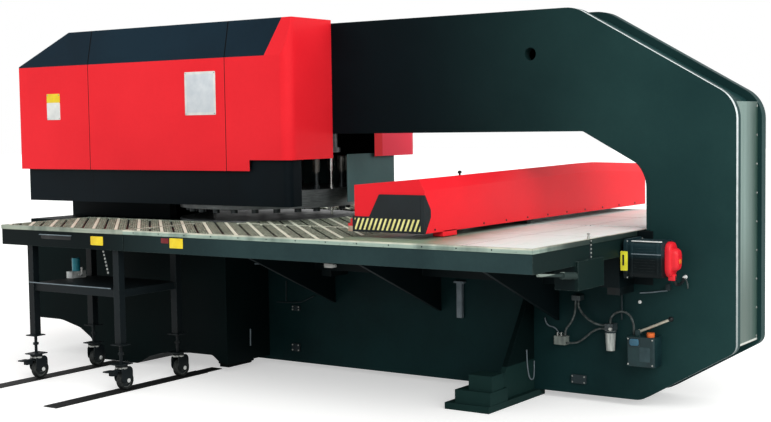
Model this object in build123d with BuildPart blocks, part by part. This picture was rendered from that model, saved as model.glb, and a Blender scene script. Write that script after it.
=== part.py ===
from build123d import *
from math import cos, radians, sin, sqrt, tan
import os

os.makedirs("parts", exist_ok=True)

# Frame: two plates on edge, their mid-plane at Y = 0, the floor at Z = 0, all in millimetres
frame_width = 428
plate_thickness = 60
frame_left = -2505
frame_right = 2238
frame_bottom = 35
frame_top = 2082
column_chamfer_run = 876
column_chamfer_drop = 498
toe_chamfer_run = 508
toe_chamfer_rise = 294
head_chamfer_run = 492
head_chamfer_drop = 232
frame_corner_radii = [60, 120, 60, 170, 215, 150, 120, 60]
plate_outer = frame_width / 2
plate_inner = plate_outer - plate_thickness
plate_middle = plate_outer - plate_thickness / 2

# Window in both plates
window_left = -1584
window_right = 1782
window_bottom = 650
window_top = 1431
window_chamfer_run = 378
window_chamfer_drop = 206
window_corner_radii = [80, 80, 150, 30, 80]
lifting_hole_x = 1094
lifting_hole_drop = 235
lifting_hole_radius = 35

# Bands between the plates
spacer_inset = 40
spacer_thickness = 60
lining_thickness = 30
lining_left = -230
rear_panel_thickness = 18
rear_panel_edge_gap = 12

# Outriggers and their anchor holes
anchor_half_pitch_x = 1005
anchor_half_pitch_y = 325
anchor_hole_radius = 13
column_pad_reach = 762
column_pad_width = 265
column_block_width = 213
column_block_length = 180
column_block_height = 68
column_block_shift = 23
column_post_width = 140
column_post_length = 120
column_post_height = 80
column_web_height = 585
web_thickness = 30
web_shift = 85
head_pad_reach = 352
head_pad_width = 120
head_block_left = -985
head_block_width = 73
head_block_reach = 428
head_block_height = 95

# Head covers, one on each side of the frame
cover_left = -2523
cover_right = -241
cover_bottom = 1221
cover_step_x = -540
cover_step_z = 1285
cover_rise = 20
cover_band_height = 215
cover_chamfer_run = 441
cover_chamfer_drop = 208
cover_lean = 44
cover_corner_radius = 66
cover_wall = 5
cover_seam_x_positions = [-1868, -716]
cover_seam_width = 4
cover_seam_depth = 2
near_cover_depth = 629
far_cover_depth = 690
cap_end_low_x = -414
cap_end_high_x = -309

# Skirts below the head covers
skirt_bottom = 1014
skirt_inset = 22
skirt_left = -2472
skirt_wall = 4
skirt_tuck = 20
near_skirt_return = 491
far_skirt_return = 44
far_skirt_corner_y = 459
far_skirt_corner_run = 157

# Casings of the left foot
casing_left = -2472
casing_right = -760
casing_depth = 610
casing_top = 890
casing_lift = 232
casing_toe_clearance = 2
casing_lift_points = [(-2201, 232), (-2031, 192), (-1922, 129)]
casing_toe_left = -1900
casing_toe_right = -1511
casing_arch_points = [(-1404, 56), (-1291, 86), (-1063, 106), (-880, 108), (-825, 70)]
casing_end_height = 60
casing_radii = [250, 80, 40, 0, 60, 60, 60, 60, 40, 30]
casing_wall = 5
casing_turret_gap = 12

# Turrets and ram
turret_x = -920
turret_radius = 560
punch_circle_radius = 500
station_count = 24
upper_turret_bottom = 985
upper_turret_thickness = 110
lower_turret_top = 917
lower_turret_thickness = 100
turret_opening_radius = 575
punch_body_radius = 22
punch_neck_radius = 14
punch_head_radius = 23
punch_tip_radius = 8
punch_bottom = 960
punch_tip_length = 30
punch_shoulder_z = 1120
punch_neck_top = 1200
punch_top = 1285
running_clearance = 0.05
die_seat_radius = 34
die_seat_depth = 4
die_bore_radius = 9
die_shaft_radius = 60
shaft_flange_radius = 140
shaft_flange_thickness = 30
shaft_proud = 4
lower_shaft_length = 300
drive_half_width = 140
drive_motor_radius = 110
drive_end_gap = 81
upper_drive_share = 0.468
lower_drive_height = 170
lower_motor_length = 230
ram_rod_radius = 45
ram_head_radius = 60
ram_head_length = 30
ram_gap = 0.5
ram_stroke = 30
ram_rod_share = 0.6
cylinder_half_width = 150
cylinder_radius = 110
cylinder_end_gap = 41
cylinder_block_share = 0.51

# Table
table_right = 1710
table_half_depth = 1332
table_left_far = -1880
table_left_near = -860
deck_top = 918
trim_height = 25
trim_thickness = 14
trim_proud = 3
apron_bottom = 801
apron_thickness = 6
deck_sheet_thickness = 10
inlay_height = 8
deck_gap = 6
inner_deck_left = -620
inner_deck_half_depth = 640
slot_half_width = 22
slot_left = -60
plain_field_left = 572
plain_plate_gap = 4
bar_pitch = 178
bar_width = 18
bar_phase = 62
band_width = 44
band_gap = 6
seam_bar_width = 20
bracket_x_positions = [-250, 500, 1250]
bracket_thickness = 20
bracket_root_bottom = 420
bracket_root_top = 640
bracket_clear = 400
bracket_tip_drop = 50
bracket_tip_inset = 132
edge_beam_inset = 42
edge_beam_size = 40
post_size = 60
post_x_positions = [-1840, -920]
guard_y = 400
guard_thickness = 4
guard_left = -250
guard_bottom = 640
guard_end_x = 1698
guard_plate_right = 1800
end_box_depth = 124
end_box_near = -915
end_box_far = -635
end_box_bottom = 682
end_box_lip = 20
end_box_proud = 14
stay_start_y = -1283
stay_rod_radius = 7
stay_sleeve_radius = 17
stay_sleeve_length = 135
stay_drop = 39

# Rails, screw and motor of the cross beam
rail_left = -150
rail_right = 1700
rail_width = 34
rail_height = 30
screw_y = -324
screw_z = 790
screw_radius = 20
screw_left = -180
screw_right = 1690
bearing_length = 70
bearing_half_width = 56
bearing_height = 50
motor_boss_radius = 40
motor_boss_length = 40
motor_size = 180
motor_length = 199
motor_corner_radius = 24
motor_flange_size = 200
motor_flange_thickness = 16
motor_cap_width = 104
motor_cap_height = 176
motor_cap_corner = 50
motor_cap_length = 62
motor_cap_taper = 10
motor_plug_size = 40

# Cross beam
beam_left = 600
beam_right = 1021
beam_near_inset = 178
beam_far_overhang = 118
beam_bottom = 947
beam_top_near = 1215
beam_top_middle = 1240
beam_top_far = 1209
beam_top_middle_y = 516
beam_bevel_drop = 55
beam_bevel_run = 34
beam_wall = 6
skid_width = 61
skid_setback = 164
skid_length = 132
skid_lift = 4
cover_web_inset = 200
cover_web_thickness = 40
girder_left = 700
girder_right = 960
girder_bottom = 960
girder_top = 1180
girder_wall = 14
girder_end_gap = 24
girder_rail_width = 20
girder_rail_height = 24
girder_rail_z_positions = [990, 1140]
saddle_half_length = 200
saddle_half_width = 205
saddle_bottom = 690
saddle_thickness = 50
saddle_neck_length = 300
saddle_neck_width = 36
nut_radius = 45
nut_length = 120
end_plate_thickness = 8
end_plate_left = 592
end_plate_right = 1001
end_plate_split = 1024
end_plate_top = 1136
lamp_box_size = 34
lamp_box_depth = 50
lamp_box_height = 40
lamp_radius = 12
lamp_height = 24

# Clamp carriage
carriage_length = 1000
carriage_y = 148
carriage_thickness = 39
carriage_bottom = 965
carriage_top = 1165
body_gap = 0.3
clamp_pitch = 400
clamp_width = 90
clamp_tip_x = 417
clamp_body_left = 560
clamp_body_top = 1030
lower_jaw_bottom = 921
lower_jaw_top = 930
sheet_gap = 6
jaw_tip_height = 14
jaw_pivot_x = 560
jaw_pivot_z = 985
jaw_pin_radius = 8
jaw_width = 60
jaw_root_radius = 17
jaw_pocket_length = 110
jaw_pocket_margin = 12
jaw_pocket_shift = 30

# Roll-out part of the table
cart_left = -1880
cart_gap = 0.3
cart_leg_x_positions = [-1670, -957]
cart_leg_inset = 50
cart_leg_setback = 186
cart_leg_size = 44
cart_leg_bottom = 266
cart_rail_top = 573
cart_rail_height = 42
cart_shelf_thickness = 5
foot_plate_size = 80
foot_plate_thickness = 6
stem_radius = 9
stem_nut_radius = 17
stem_nut_height = 14
stem_nut_z = 205
caster_plate_length = 100
caster_plate_width = 85
caster_plate_bottom = 150.3
caster_plate_thickness = 6
king_pin_radius = 6
king_pin_length = 11
fork_disc_radius = 36
fork_disc_thickness = 8
fork_gap = 46
fork_wall = 4
fork_width = 46
fork_end_radius = 14
caster_trail = 25
wheel_radius = 52
wheel_width = 40
wheel_hub_radius = 17
wheel_web_width = 24
axle_radius = 6
floor_rail_thickness = 5
floor_rail_width = 100
floor_rail_reach = 474
floor_rail_far = -625
pedal_width = 24
pedal_length = 84
pedal_thickness = 7
pedal_pin_radius = 3
pedal_pin_z = 116
pedal_pin_back = 22
pedal_hub_radius = 9

# Services on the near face of the column
pump_left = 1692
pump_width = 153
pump_bottom = 229
pump_height = 152
pump_depth = 95
pump_corner_radius = 12
lever_pivot_x = 1739
lever_pivot_z = 400
lever_length = 190
lever_radius = 7
lever_hub_radius = 14
lever_angle = 24
lever_pin_radius = 5
filler_x = 1812
filler_stand_off = 62
filler_radius = 20
filler_height = 22
filter_x = 1575
filter_top = 430
filter_bowl_radius = 28
filter_bowl_height = 105
filter_head_size = 46
filter_head_height = 36
hose_stand_off = 34
manifold_x = 1284
manifold_z = 320
manifold_width = 67
manifold_height = 46
manifold_depth = 48
outlet_x = 1382
outlet_z = 553
outlet_width = 50
outlet_height = 26
hose_radius = 5.5
valve_x = -1667
valve_setback = 377
valve_bowl_radius = 24
valve_bowl_height = 80
valve_block_length = 110
valve_block_width = 50
valve_block_height = 40


def frame_outline():
    """Corner points of a frame plate, seen from the front."""
    return [
        (frame_left + toe_chamfer_run, frame_bottom),
        (frame_right - toe_chamfer_run, frame_bottom),
        (frame_right, frame_bottom + toe_chamfer_rise),
        (frame_right, frame_top - column_chamfer_drop),
        (frame_right - column_chamfer_run, frame_top),
        (frame_left + head_chamfer_run, frame_top),
        (frame_left, frame_top - head_chamfer_drop),
        (frame_left, frame_bottom + toe_chamfer_rise),
    ]


def window_outline():
    """Corner points of the window, seen from the front."""
    return [
        (window_left, window_bottom),
        (window_right, window_bottom),
        (window_right, window_top - window_chamfer_drop),
        (window_right - window_chamfer_run, window_top),
        (window_left, window_top),
    ]


# Frame plates
for side, where in ((-1, "near"), (1, "far")):
    with BuildPart() as frame_plate:
        with BuildSketch(Plane.XZ.offset(-side * plate_middle)):
            with BuildLine():
                FilletPolyline(*frame_outline(), radius=frame_corner_radii, close=True)
            make_face()
            with BuildLine():
                FilletPolyline(*window_outline(), radius=window_corner_radii, close=True)
            make_face(mode=Mode.SUBTRACT)
            with Locations((lifting_hole_x, frame_top - lifting_hole_drop)):
                Circle(lifting_hole_radius, mode=Mode.SUBTRACT)
        extrude(amount=plate_thickness / 2, both=True)
    frame_plate.part.label = f"frame_plate_{where}"
    export_step(frame_plate.part, f"parts/frame_plate_{where}.step")

# Spacer band along the outer edge and lining of the window, between the plates
with BuildPart() as edge_spacer:
    with BuildSketch(Plane.XZ):
        with BuildLine():
            FilletPolyline(*frame_outline(), radius=frame_corner_radii, close=True)
        make_face()
        offset(amount=-spacer_inset, mode=Mode.REPLACE)
        offset(amount=-spacer_thickness, mode=Mode.SUBTRACT)
    extrude(amount=plate_inner, both=True)
    with BuildSketch(Plane.XZ) as lining:
        with BuildLine():
            FilletPolyline(*window_outline(), radius=window_corner_radii, close=True)
        make_face()
        offset(amount=lining_thickness, mode=Mode.REPLACE)
        with BuildLine():
            FilletPolyline(*window_outline(), radius=window_corner_radii, close=True)
        make_face(mode=Mode.SUBTRACT)
        with Locations((window_left, (window_bottom + window_top) / 2)):
            Rectangle(2 * (lining_left - window_left), 2 * window_top, mode=Mode.SUBTRACT)
    extrude(amount=plate_inner, both=True)
edge_spacer.part.label = "edge_spacer"
export_step(edge_spacer.part, "parts/edge_spacer.step")

# Pale panel in the recess at the back of the column
rear_panel_bottom = frame_bottom + toe_chamfer_rise + rear_panel_edge_gap
rear_panel_top = frame_top - column_chamfer_drop - rear_panel_edge_gap
with BuildPart() as rear_panel:
    with BuildSketch(Plane.YZ.offset(frame_right - spacer_inset)):
        with Locations((0, (rear_panel_bottom + rear_panel_top) / 2)):
            Rectangle(2 * plate_inner, rear_panel_top - rear_panel_bottom)
    extrude(amount=rear_panel_thickness)
rear_panel.part.label = "rear_panel"
export_step(rear_panel.part, "parts/rear_panel.step")

# Outriggers: pads under both plates, a tall web at the column and a low block at the head
with BuildPart() as outriggers:
    for side in (-1, 1):
        for x, reach, width in (
            (anchor_half_pitch_x, column_pad_reach, column_pad_width),
            (-anchor_half_pitch_x, head_pad_reach, head_pad_width),
        ):
            with BuildSketch(Plane.XY):
                with Locations((x, side * (reach + plate_inner) / 2)):
                    Rectangle(width, reach - plate_inner)
                with Locations((x, side * anchor_half_pitch_y)):
                    Circle(anchor_hole_radius, mode=Mode.SUBTRACT)
            extrude(amount=frame_bottom)
        with BuildSketch(Plane.YZ.offset(anchor_half_pitch_x + web_shift)):
            with BuildLine():
                Polyline(
                    (side * plate_outer, frame_bottom),
                    (side * (column_pad_reach - column_block_length), frame_bottom),
                    (side * (column_pad_reach - column_block_length), frame_bottom + column_block_height),
                    (side * plate_outer, frame_bottom + column_web_height),
                    close=True,
                )
            make_face()
        extrude(amount=web_thickness / 2, both=True)
        block_y = column_pad_reach - column_block_length / 2 - column_block_shift
        with BuildSketch(Plane.XY.offset(frame_bottom)):
            with Locations((anchor_half_pitch_x + column_block_shift, side * block_y)):
                Rectangle(column_block_width, column_block_length)
        extrude(amount=column_block_height)
        with BuildSketch(Plane.XY.offset(frame_bottom + column_block_height)):
            with Locations((anchor_half_pitch_x + column_block_shift + web_thickness, side * block_y)):
                Rectangle(column_post_width, column_post_length)
        extrude(amount=column_post_height)
        with BuildSketch(Plane.XY):
            with Locations((head_block_left, side * plate_outer)):
                Rectangle(
                    head_block_width,
                    head_block_reach - plate_outer,
                    align=(Align.MIN, Align.MIN if side > 0 else Align.MAX),
                )
        extrude(amount=head_block_height)
outriggers.part.label = "outriggers"
export_step(outriggers.part, "parts/outriggers.step")

# Head covers with their caps, and the skirts below them
cover_top = frame_top + cover_rise
cover_band_z = cover_top - cover_band_height
for side, where, depth in ((-1, "near", near_cover_depth), (1, "far", far_cover_depth)):
    with BuildPart() as head_shell:
        with BuildSketch(Plane.XZ.offset(-side * plate_outer)):
            with BuildLine():
                Polyline(
                    (cover_left, cover_bottom),
                    (cover_step_x, cover_bottom),
                    (cover_step_x, cover_step_z),
                    (cover_right, cover_step_z),
                    (cover_right, cover_top),
                    (cover_left + cover_chamfer_run, cover_top),
                    (cover_left, cover_top - cover_chamfer_drop),
                    close=True,
                )
            make_face()
        extrude(amount=-side * (depth - plate_outer))
        outer_right_edge = head_shell.edges().filter_by(Axis.Z).sort_by(Axis.X)[-2:]
        fillet(outer_right_edge.sort_by(Axis.Y)[0 if side < 0 else -1], cover_corner_radius)
        with BuildSketch(Plane.YZ.offset(cover_left)):
            with BuildLine():
                Polyline(
                    (side * depth, cover_band_z),
                    (side * (depth - cover_lean), cover_top),
                    (side * depth, cover_top),
                    close=True,
                )
            make_face()
        extrude(amount=cover_right - cover_left, mode=Mode.SUBTRACT)
        open_faces = head_shell.faces().filter_by(lambda f: f.normal_at().Z < -0.9)
        open_faces += head_shell.faces().filter_by(lambda f: f.normal_at().Y * side < -0.9)
        open_faces += head_shell.faces().filter_by(
            lambda f: f.normal_at().X > 0.9 and f.center().X < cover_step_x + 1
        )
        offset(amount=-cover_wall, openings=open_faces)
        for x in cover_seam_x_positions:
            with BuildSketch(Plane.YZ.offset(x - cover_seam_width / 2)):
                with BuildLine():
                    Polyline(
                        (side * depth, cover_bottom - cover_wall),
                        (side * depth, cover_band_z),
                        (side * (depth - cover_lean), cover_top),
                        (side * plate_outer, cover_top),
                    )
                    offset(amount=cover_seam_depth, side=Side.BOTH)
                make_face()
            extrude(amount=cover_seam_width, mode=Mode.SUBTRACT)
    with BuildPart() as cap_zone:
        with BuildSketch(Plane.XZ.offset(-side * plate_outer)):
            with BuildLine():
                Polyline(
                    (cover_left - cover_wall, cover_band_z),
                    (cap_end_low_x, cover_band_z),
                    (cap_end_high_x, cover_top + cover_wall),
                    (cover_left - cover_wall, cover_top + cover_wall),
                    close=True,
                )
            make_face()
        extrude(amount=-side * depth)
    with BuildPart() as head_cover:
        add(head_shell.part)
        add(cap_zone.part, mode=Mode.SUBTRACT)
    head_cover.part.label = f"head_cover_{where}"
    export_step(head_cover.part, f"parts/head_cover_{where}.step")
    with BuildPart() as head_cap:
        add(head_shell.part)
        add(cap_zone.part, mode=Mode.INTERSECT)
    head_cap.part.label = f"head_cap_{where}"
    export_step(head_cap.part, f"parts/head_cap_{where}.step")

    skirt_right = cover_right - skirt_inset
    skirt_depth = depth - skirt_inset
    corner_radius = cover_corner_radius - skirt_inset
    if side < 0:
        skirt_path = [
            (skirt_left, -plate_outer),
            (skirt_left, -skirt_depth),
            (skirt_right, -skirt_depth),
            (skirt_right, -near_skirt_return),
        ]
        skirt_radii = [0, corner_radius]
        inside = Side.LEFT
    else:
        skirt_path = [
            (skirt_left, plate_outer),
            (skirt_left, skirt_depth),
            (skirt_right - far_skirt_corner_run, skirt_depth),
            (skirt_right, far_skirt_corner_y),
            (skirt_right, -far_skirt_return),
        ]
        skirt_radii = [0, corner_radius, corner_radius]
        inside = Side.RIGHT
    with BuildPart() as turret_skirt:
        with BuildSketch(Plane.XY.offset(skirt_bottom)):
            with BuildLine():
                FilletPolyline(*skirt_path, radius=skirt_radii)
                offset(amount=skirt_wall, side=inside)
            make_face()
        extrude(amount=cover_step_z + skirt_tuck - skirt_bottom)
        with BuildSketch(Plane.XY.offset(cover_bottom + skirt_tuck)):
            with Locations((skirt_left - skirt_inset, side * plate_outer)):
                Rectangle(
                    cover_step_x - skirt_left + skirt_inset,
                    depth - plate_outer,
                    align=(Align.MIN, Align.MIN if side > 0 else Align.MAX),
                )
        extrude(amount=cover_step_z, mode=Mode.SUBTRACT)
        with BuildSketch(Plane.XY.offset(cover_bottom + skirt_tuck - skirt_wall)):
            with Locations((skirt_left, side * (skirt_depth - skirt_wall))):
                Rectangle(
                    cover_step_x - skirt_left,
                    skirt_inset + skirt_wall - cover_wall,
                    align=(Align.MIN, Align.MIN if side > 0 else Align.MAX),
                )
        extrude(amount=skirt_wall)
    turret_skirt.part.label = f"turret_skirt_{where}"
    export_step(turret_skirt.part, f"parts/turret_skirt_{where}.step")

# Casings of the left foot, one tray on each side
casings = []
for side in (-1, 1):
    with BuildPart() as casing:
        with BuildSketch(Plane.XZ.offset(-side * plate_outer)):
            with BuildLine():
                FilletPolyline(
                    (casing_left, casing_lift),
                    *casing_lift_points,
                    (casing_toe_left, casing_toe_clearance),
                    (casing_toe_right, casing_toe_clearance),
                    *casing_arch_points,
                    (casing_right, casing_end_height),
                    radius=casing_radii,
                )
                Polyline(
                    (casing_right, casing_end_height),
                    (casing_right, casing_top),
                    (casing_left, casing_top),
                    (casing_left, casing_lift),
                )
            make_face()
        extrude(amount=-side * (casing_depth - plate_outer))
        back = casing.faces().sort_by(Axis.Y)[0 if side > 0 else -1]
        offset(amount=-casing_wall, openings=back)
    casings.append(casing.part)
with BuildPart() as base_casings:
    for tray in casings:
        add(tray)
    with BuildSketch(Plane.XY.offset(lower_turret_top - lower_turret_thickness - casing_turret_gap)):
        with Locations((turret_x, 0)):
            Circle(turret_opening_radius)
    extrude(amount=casing_top, mode=Mode.SUBTRACT)
base_casings.part.label = "base_casings"
export_step(base_casings.part, "parts/base_casings.step")

# Upper turret disc with its tool holes
with BuildPart() as upper_turret:
    with BuildSketch(Plane.XY.offset(upper_turret_bottom)):
        with Locations((turret_x, 0)):
            Circle(turret_radius)
            with PolarLocations(punch_circle_radius, station_count):
                Circle(punch_body_radius + running_clearance, mode=Mode.SUBTRACT)
    extrude(amount=upper_turret_thickness)
upper_turret.part.label = "upper_turret"
export_step(upper_turret.part, "parts/upper_turret.step")

# Lower turret disc with its die seats
with BuildPart() as lower_turret:
    with BuildSketch(Plane.XY.offset(lower_turret_top - lower_turret_thickness)):
        with Locations((turret_x, 0)):
            Circle(turret_radius)
            with PolarLocations(punch_circle_radius, station_count):
                Circle(die_bore_radius, mode=Mode.SUBTRACT)
    extrude(amount=lower_turret_thickness)
    with BuildSketch(Plane.XY.offset(lower_turret_top - die_seat_depth)):
        with Locations((turret_x, 0)):
            with PolarLocations(punch_circle_radius, station_count):
                Circle(die_seat_radius)
                Circle(die_seat_radius - 4, mode=Mode.SUBTRACT)
    extrude(amount=die_seat_depth, mode=Mode.SUBTRACT)
lower_turret.part.label = "lower_turret"
export_step(lower_turret.part, "parts/lower_turret.step")

# Punches: all stations but the one under the ram, then that one with its tip
step_angle = 360 / station_count
with BuildPart() as punch_holders:
    for radius, low, high in (
        (punch_body_radius, punch_bottom, punch_shoulder_z),
        (punch_neck_radius, punch_shoulder_z, punch_neck_top),
        (punch_head_radius, punch_neck_top, punch_top),
    ):
        with BuildSketch(Plane.XY.offset(low)):
            with Locations((turret_x, 0)):
                with PolarLocations(
                    punch_circle_radius, station_count - 1, start_angle=step_angle,
                    angular_range=360 - 2 * step_angle, endpoint=True,
                ):
                    Circle(radius)
        extrude(amount=high - low)
punch_holders.part.label = "punch_holders"
export_step(punch_holders.part, "parts/punch_holders.step")

ram_x = turret_x + punch_circle_radius
with BuildPart() as working_punch:
    for radius, low, high in (
        (punch_tip_radius, punch_bottom - punch_tip_length, punch_bottom),
        (punch_body_radius, punch_bottom, punch_shoulder_z),
        (punch_neck_radius, punch_shoulder_z, punch_neck_top),
        (punch_head_radius, punch_neck_top, punch_top),
    ):
        with BuildSketch(Plane.XY.offset(low)):
            with Locations((ram_x, 0)):
                Circle(radius)
        extrude(amount=high - low)
working_punch.part.label = "working_punch"
export_step(working_punch.part, "parts/working_punch.step")

# Turret shafts with their flanges
head_roof = frame_top - spacer_inset - spacer_thickness
drive_room = head_roof - drive_end_gap - window_top
upper_drive_height = upper_drive_share * drive_room
upper_motor_length = drive_room - upper_drive_height
upper_turret_top = upper_turret_bottom + upper_turret_thickness
upper_shaft_length = window_top + upper_drive_height + shaft_proud - upper_turret_top
with BuildPart() as upper_shaft:
    with BuildSketch(Plane.XY.offset(upper_turret_top)):
        with Locations((turret_x, 0)):
            Circle(shaft_flange_radius)
    extrude(amount=shaft_flange_thickness)
    with BuildSketch(Plane.XY.offset(upper_turret_top)):
        with Locations((turret_x, 0)):
            Circle(die_shaft_radius)
    extrude(amount=upper_shaft_length)
upper_shaft.part.label = "upper_shaft"
export_step(upper_shaft.part, "parts/upper_shaft.step")

lower_turret_bottom = lower_turret_top - lower_turret_thickness
with BuildPart() as lower_shaft:
    with BuildSketch(Plane.XY.offset(lower_turret_bottom)):
        with Locations((turret_x, 0)):
            Circle(shaft_flange_radius)
    extrude(amount=-shaft_flange_thickness)
    with BuildSketch(Plane.XY.offset(lower_turret_bottom)):
        with Locations((turret_x, 0)):
            Circle(die_shaft_radius)
    extrude(amount=-lower_shaft_length)
lower_shaft.part.label = "lower_shaft"
export_step(lower_shaft.part, "parts/lower_shaft.step")

# Bearing housings between the plates with the indexing motors
with BuildPart() as turret_drives:
    with BuildSketch(Plane.XY.offset(window_top)):
        with Locations((turret_x, 0)):
            Rectangle(2 * drive_half_width, 2 * plate_inner)
    extrude(amount=upper_drive_height)
    with BuildSketch(Plane.XY.offset(window_top + upper_drive_height)):
        with Locations((turret_x, 0)):
            Circle(drive_motor_radius)
    extrude(amount=upper_motor_length)
    with BuildSketch(Plane.XY.offset(window_bottom)):
        with Locations((turret_x, 0)):
            Rectangle(2 * drive_half_width, 2 * plate_inner)
    extrude(amount=-lower_drive_height)
    with BuildSketch(Plane.XY.offset(window_bottom - lower_drive_height)):
        with Locations((turret_x, 0)):
            Circle(drive_motor_radius)
    extrude(amount=-lower_motor_length)
    shaft_end_gap = 10
    with BuildSketch(Plane.XY.offset(lower_turret_bottom - lower_shaft_length - shaft_end_gap)):
        with Locations((turret_x, 0)):
            Circle(die_shaft_radius + running_clearance)
    extrude(
        amount=upper_turret_top + upper_shaft_length - lower_turret_bottom + lower_shaft_length + 2 * shaft_end_gap,
        mode=Mode.SUBTRACT,
    )
turret_drives.part.label = "turret_drives"
export_step(turret_drives.part, "parts/turret_drives.step")

# Ram and its hydraulic cylinder
ram_bottom = punch_top + ram_stroke + ram_gap
cylinder_room = head_roof - cylinder_end_gap - window_top
cylinder_block_height = cylinder_block_share * cylinder_room
cylinder_length = cylinder_room - cylinder_block_height
ram_rod_length = window_top + ram_rod_share * cylinder_room - ram_bottom
with BuildPart() as ram:
    with BuildSketch(Plane.XY.offset(ram_bottom)):
        with Locations((ram_x, 0)):
            Circle(ram_head_radius)
    extrude(amount=ram_head_length)
    with BuildSketch(Plane.XY.offset(ram_bottom)):
        with Locations((ram_x, 0)):
            Circle(ram_rod_radius)
    extrude(amount=ram_rod_length)
ram.part.label = "ram"
export_step(ram.part, "parts/ram.step")

with BuildPart() as ram_cylinder:
    with BuildSketch(Plane.XY.offset(window_top)):
        with Locations((ram_x, 0)):
            Rectangle(2 * cylinder_half_width, 2 * plate_inner)
    extrude(amount=cylinder_block_height)
    with BuildSketch(Plane.XY.offset(window_top + cylinder_block_height)):
        with Locations((ram_x, 0)):
            Circle(cylinder_radius)
    extrude(amount=cylinder_length)
    with BuildSketch(Plane.XY.offset(window_top)):
        with Locations((ram_x, 0)):
            Circle(ram_rod_radius + running_clearance)
    extrude(amount=ram_bottom + ram_rod_length + shaft_end_gap - window_top, mode=Mode.SUBTRACT)
ram_cylinder.part.label = "ram_cylinder"
export_step(ram_cylinder.part, "parts/ram_cylinder.step")


def table_path(out):
    """Plan of the fixed table's skin, from its near left corner round to the far left one."""
    return [
        (table_left_near - out, -inner_deck_half_depth),
        (table_left_near - out, -table_half_depth - out),
        (table_right + out, -table_half_depth - out),
        (table_right + out, table_half_depth + out),
        (table_left_far - out, table_half_depth + out),
        (table_left_far - out, inner_deck_half_depth),
    ]


edge_beam_y = table_half_depth - edge_beam_inset
bracket_tip = table_half_depth - bracket_tip_inset

# Apron and edge trim of the fixed table, with the drive box and its stay below the right end
with BuildPart() as table_apron:
    with BuildSketch(Plane.XY.offset(apron_bottom)):
        with BuildLine():
            Polyline(*table_path(0))
            offset(amount=apron_thickness, side=Side.LEFT)
        make_face()
    extrude(amount=deck_top - trim_height - apron_bottom)
    with BuildSketch(Plane.YZ.offset(table_right + 1)):
        with Locations((screw_y, screw_z)):
            SlotCenterToCenter(1, 2 * (motor_boss_radius + 5), rotation=90)
    extrude(amount=-2 * apron_thickness, mode=Mode.SUBTRACT)
    with BuildSketch(Plane.XZ.offset(-end_box_far)):
        with BuildLine():
            Polyline(
                (table_right + end_box_proud - end_box_depth, end_box_bottom),
                (table_right + end_box_proud, end_box_bottom),
                (table_right + end_box_proud, apron_bottom + end_box_lip),
                (table_right, apron_bottom + end_box_lip),
                (table_right, apron_bottom),
                (table_right + end_box_proud - end_box_depth, apron_bottom),
                close=True,
            )
        make_face()
    extrude(amount=end_box_far - end_box_near)
    stay_x = table_right - apron_thickness / 2
    stay_start = Vector(stay_x, stay_start_y, apron_bottom - stay_rod_radius)
    stay_end = Vector(stay_x, end_box_near, apron_bottom - stay_rod_radius - stay_drop)
    stay_direction = (stay_end - stay_start).normalized()
    with BuildSketch(Plane(origin=stay_start, z_dir=stay_direction)):
        Circle(stay_rod_radius)
    extrude(amount=(stay_end - stay_start).length + stay_sleeve_radius)
    with BuildSketch(Plane(origin=stay_end - stay_direction * stay_sleeve_length, z_dir=stay_direction)):
        Circle(stay_sleeve_radius)
    extrude(amount=stay_sleeve_length + stay_sleeve_radius)
table_apron.part.label = "table_apron"
export_step(table_apron.part, "parts/table_apron.step")

with BuildPart() as table_trim:
    with BuildSketch(Plane.XY.offset(deck_top - trim_height)):
        with BuildLine():
            Polyline(*table_path(trim_proud))
            offset(amount=trim_thickness, side=Side.LEFT)
        make_face()
    extrude(amount=trim_height)
table_trim.part.label = "table_trim"
export_step(table_trim.part, "parts/table_trim.step")

# Fixed deck: plan of the sheet, inside the trim
deck_inset = trim_thickness - trim_proud


def draw_deck(right, gap):
    """Adds the deck's plan up to the given right end to the open sketch, a gap inside the trim."""
    edge = deck_inset + gap
    inner = inner_deck_half_depth
    near_length = right - table_left_near - edge
    far_length = right - table_left_far - edge
    strip = table_half_depth - edge - inner
    with Locations((right, -inner)):
        Rectangle(near_length, strip, align=(Align.MAX, Align.MAX))
    with Locations((right, inner)):
        Rectangle(far_length, strip, align=(Align.MAX, Align.MIN))
    with Locations((right, 0)):
        Rectangle(right - inner_deck_left, 2 * inner, align=(Align.MAX, Align.CENTER))
    with Locations((turret_x, 0)):
        Circle(turret_opening_radius, mode=Mode.SUBTRACT)
    with Locations((slot_left, 0)):
        Rectangle(
            table_right - slot_left, 2 * slot_half_width,
            align=(Align.MIN, Align.CENTER), mode=Mode.SUBTRACT,
        )


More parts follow.
